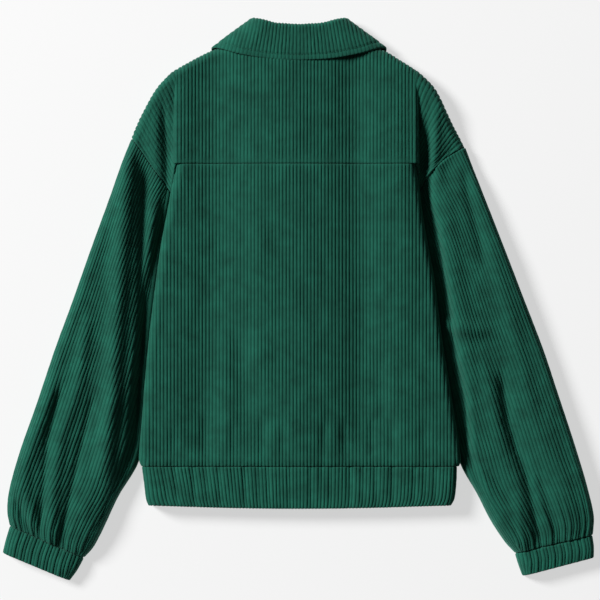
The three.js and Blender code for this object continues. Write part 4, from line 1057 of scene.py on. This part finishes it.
def button_shell(centre):
    """Round button, face down, with a rim, a dished middle and four holes."""
    quarter, hole = 1.9, 0.95
    spots = {}
    faces = []

    def vertex(x, y, z):
        return spots.setdefault((round(x, 4), round(y, 4), round(z, 4)), len(spots))

    def quad(*corners):
        face = tuple(dict.fromkeys(vertex(*corner) for corner in corners))
        if len(face) > 2:
            faces.append(face)

    turns = np.arange(25) * math.pi / 12
    directions = [(math.cos(a), math.sin(a)) for a in turns]
    face_z, back_z = BUTTON_DISH, BUTTON_THICK - 0.2
    border = set()
    for mid_x in (-quarter, quarter):
        for mid_y in (-quarter, quarter):
            for (ax, ay), (bx, by) in zip(directions, directions[1:]):
                reach_a, reach_b = quarter / max(abs(ax), abs(ay)), quarter / max(abs(bx), abs(by))
                square = [
                    (mid_x + ax * reach_a, mid_y + ay * reach_a), (mid_x + bx * reach_b, mid_y + by * reach_b),
                ]
                ring = [(mid_x + ax * hole, mid_y + ay * hole), (mid_x + bx * hole, mid_y + by * hole)]
                for z, up in ((back_z, True), (face_z, False)):
                    corners = [(*ring[0], z), (*square[0], z), (*square[1], z), (*ring[1], z)]
                    quad(*(corners if up else corners[::-1]))
                quad((*ring[0], face_z), (*ring[0], back_z), (*ring[1], back_z), (*ring[1], face_z))
                for x, y in square:
                    if max(abs(x), abs(y)) > 2 * quarter - 1e-6:
                        border.add((round(math.atan2(y, x), 6), round(x, 4), round(y, 4)))
    border = sorted(border)
    radii = [(BUTTON_RADIUS - 3.2, face_z), (BUTTON_RADIUS - 2.2, 0.15), (BUTTON_RADIUS - 1.4, 0.0),
             (BUTTON_RADIUS - 0.5, 0.15), (BUTTON_RADIUS, 0.8), (BUTTON_RADIUS, 1.9),
             (BUTTON_RADIUS - 0.6, BUTTON_THICK - 0.05), (BUTTON_RADIUS - 2.5, BUTTON_THICK), (4.6, back_z)]
    for (turn_a, ax, ay), (turn_b, bx, by) in zip(border, border[1:] + border[:1]):
        a, b = (math.cos(turn_a), math.sin(turn_a)), (math.cos(turn_b), math.sin(turn_b))
        rows = [((ax, ay, face_z), (bx, by, face_z))]
        rows += [((a[0] * r, a[1] * r, z), (b[0] * r, b[1] * r, z)) for r, z in radii]
        rows.append(((ax, ay, back_z), (bx, by, back_z)))
        for (a_in, b_in), (a_out, b_out) in zip(rows, rows[1:]):
            quad(a_in, b_in, b_out, a_out)
    points = np.array(list(spots)) + np.array([*centre, 0.0])
    wall = (points, faces, np.ones(len(points)))
    threads = []
    for side in (-quarter, quarter):
        ends = [(centre[0] + side, centre[1] + quarter * k, face_z - 0.25) for k in (-1.0, 0.0, 1.0)]
        line = np.array(ends)
        threads.append(thread_bar(line))
    return wall, threads


def thread_bar(line):
    """Short bar of sewing thread whose ends go down into two holes."""
    path = np.vstack([
        line[0] + (0, 0, 1.6), line[0] + (0, 0.15, 0.1), line,
        line[-1] + (0, -0.15, 0.1), line[-1] + (0, 0, 1.6),
    ])
    along = np.vstack([path[1:], path[-1:]]) - np.vstack([path[:1], path[:-1]])
    along /= np.linalg.norm(along, axis=1, keepdims=True)
    return thread(path, SEWING_RADIUS, along, np.array([1.0, 0.0, 0.0]), 8, SEWING_TONE)


def buttons():
    shells = []
    for k in range(BUTTON_COUNT):
        wall, threads = button_shell((0.0, BUTTON_TOP_Y - k * BUTTON_STEP))
        shells += [wall] + threads
    return made_piece("buttons_sewn", shells)


# Materials


def node(tree, kind, **values):
    made = tree.nodes.new(kind)
    for name, value in values.items():
        if name in made.inputs:
            made.inputs[name].default_value = value
        else:
            setattr(made, name, value)
    return made


def ramp(tree, *stops):
    """Colour ramp through two (position, colour) stops."""
    made = tree.nodes.new("ShaderNodeValToRGB")
    for element, (position, colour) in zip(made.color_ramp.elements, stops):
        element.position, element.color = position, (*colour, 1)
    return made


def corduroy(name, crest, groove):
    material = bpy.data.materials.new(name)
    material.use_nodes = True
    tree = material.node_tree
    shader = tree.nodes["Principled BSDF"]
    link = tree.links.new
    place = node(tree, "ShaderNodeTexCoord").outputs["Object"]
    # Painted shade: a vertex level, 1 on the rib crests and 0 in the grooves, runs the colour from crest down
    # to the darker groove colour, so the grooves are darkened as if in shade; threads carry a level of their
    # own, which is their colour
    groove_shade_and_thread_tone = node(tree, "ShaderNodeAttribute", attribute_name="groove_shade_and_thread_tone")
    depth = ramp(tree, (0.05, groove), (0.85, crest))
    link(groove_shade_and_thread_tone.outputs["Fac"], depth.inputs["Fac"])
    patches = node(tree, "ShaderNodeTexNoise", Scale=55.0, Detail=5.0, Roughness=0.6)
    link(place, patches.inputs["Vector"])
    tone = node(tree, "ShaderNodeMapRange")
    tone.inputs["From Min"].default_value, tone.inputs["From Max"].default_value = 0.3, 0.7
    tone.inputs["To Min"].default_value, tone.inputs["To Max"].default_value = 0.74, 1.22
    link(patches.outputs["Fac"], tone.inputs["Value"])
    worn = node(tree, "ShaderNodeMix", data_type="RGBA", blend_type="MULTIPLY")
    worn.inputs["Factor"].default_value = 1.0
    link(depth.outputs["Color"], worn.inputs["A"])
    link(tone.outputs["Result"], worn.inputs["B"])
    link(worn.outputs["Result"], shader.inputs["Base Color"])
    fuzz = node(tree, "ShaderNodeTexNoise", Scale=1500.0, Detail=4.0, Roughness=0.7)
    link(place, fuzz.inputs["Vector"])
    bump = node(tree, "ShaderNodeBump", Strength=0.5, Distance=0.0004)
    link(fuzz.outputs["Fac"], bump.inputs["Height"])
    link(bump.outputs["Normal"], shader.inputs["Normal"])
    shader.inputs["Roughness"].default_value = 0.95
    shader.inputs["Specular IOR Level"].default_value = 0.15
    shader.inputs["Sheen Weight"].default_value = 0.25
    shader.inputs["Sheen Roughness"].default_value = 0.5
    shader.inputs["Sheen Tint"].default_value = (0.3, 0.75, 0.6, 1)
    return material


def button_material():
    """Dark green with faint clouds, the same on the sewing thread."""
    material = bpy.data.materials.new("button")
    material.use_nodes = True
    tree = material.node_tree
    shader = tree.nodes["Principled BSDF"]
    clouds = node(tree, "ShaderNodeTexNoise", Scale=260.0, Detail=3.0)
    tree.links.new(node(tree, "ShaderNodeTexCoord").outputs["Object"], clouds.inputs["Vector"])
    tone = ramp(tree, (0.35, (0.006, 0.034, 0.026)), (0.7, (0.012, 0.06, 0.045)))
    tree.links.new(clouds.outputs["Fac"], tone.inputs["Fac"])
    tree.links.new(tone.outputs["Color"], shader.inputs["Base Color"])
    shader.inputs["Roughness"].default_value = 0.4
    return material


# Crest colour of the cloth, and a darker groove colour that is painted shade in the grooves between the ribs
CREST = (0.0075, 0.082, 0.054)
GROOVE_SHADE = (0.0018, 0.045, 0.029)
body_cloth = corduroy("corduroy", CREST, GROOVE_SHADE)
band_cloth = corduroy("corduroy_band", tuple(c * 1.08 for c in CREST), GROOVE_SHADE)


def dress(piece, nodes, material, slot, flat, held, rests_on, area=None):
    piece.data.materials.append(material)
    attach(piece, "root")
    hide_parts(*nodes)
    return piece


CORDUROY = (body_cloth, "corduroy")
BANDS = (band_cloth, "corduroy_band")
YOKE = ["back_yoke_cloth"]
FRONT_PIECE = ["front_left_cloth"]
FLOOR = ["floor"]
dress(back_panel(), ["back_panel"], *CORDUROY, (0.412, 0.364), "laid", FRONT_PIECE, 0.144)
dress(back_yoke(), ["back_yoke"], *CORDUROY, (0.42, 0.16), "laid", FRONT_PIECE, 0.06)
dress(hem_band(), ["hem_band"], *BANDS, (0.80, 0.046), "gathered", FLOOR)
dress(collar_fall(), ["collar_fall"], *CORDUROY, (0.48, 0.075), "folded", YOKE, 0.028)
dress(collar_stand(), ["collar_stand"], *CORDUROY, (0.40, 0.034), "laid", YOKE, 0.011)
for side in ("left", "right"):
    dress(front_panel(side), [f"front_{side}"], *CORDUROY, (0.215, 0.50), "laid", FLOOR, 0.09)
    dress(sleeve(side), [f"sleeve_{side}"], *CORDUROY, (0.30, 0.49), "gathered", FLOOR, 0.12)
    dress(cuff(side), [f"cuff_{side}"], *BANDS, (0.20, 0.03), "gathered", FLOOR)


sewn = buttons()
sewn.data.materials.append(button_material())
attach(sewn, "root")
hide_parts(*(f"button_{k + 1}" for k in range(BUTTON_COUNT)))


# Stage


FLOOR_GLOW = 0.61
PICTURE_WIDTH = 0.72
CAMERA_HEIGHT = 4.0
SENSOR = 36
KEY_LIGHT = {"place": (-5.8, 3.1, 4.35), "size": 2.5, "power": 1060}
SKY_STRENGTH = 0.07


def stage():
    bpy.ops.mesh.primitive_plane_add(size=6, location=(0, 0, -0.0003))
    floor = bpy.context.object
    floor.name = "floor"
    material = bpy.data.materials.new("floor_paper")
    material.use_nodes = True
    paper = material.node_tree.nodes["Principled BSDF"].inputs
    paper["Base Color"].default_value = (0.3, 0.3, 0.3, 1)
    paper["Roughness"].default_value = 0.9
    paper["Specular IOR Level"].default_value = 0.1
    paper["Emission Color"].default_value = (1, 1, 1, 1)
    paper["Emission Strength"].default_value = FLOOR_GLOW
    floor.data.materials.append(material)


def area_light(name, place, size, power):
    data = bpy.data.lights.new(name, "AREA")
    data.shape, data.size, data.energy = "DISK", size, power
    light = bpy.data.objects.new(name, data)
    light.location = place
    light.rotation_euler = (-light.location).to_track_quat("-Z", "Y").to_euler()
    bpy.context.collection.objects.link(light)


def camera():
    """Straight above, far enough off to see the jacket without perspective."""
    data = bpy.data.cameras.new("camera")
    data.sensor_width = SENSOR
    data.lens = SENSOR * CAMERA_HEIGHT / PICTURE_WIDTH
    made = bpy.data.objects.new("camera", data)
    made.location = (0.0012, -0.0018, CAMERA_HEIGHT + 0.02)
    bpy.context.collection.objects.link(made)
    bpy.context.scene.camera = made


stage()
area_light("key", **KEY_LIGHT)
world = bpy.data.worlds.new("studio")
world.use_nodes = True
world.node_tree.nodes["Background"].inputs["Color"].default_value = (1, 1, 1, 1)
world.node_tree.nodes["Background"].inputs["Strength"].default_value = SKY_STRENGTH
bpy.context.scene.world = world
bpy.context.scene.view_settings.view_transform = "Standard"
camera()
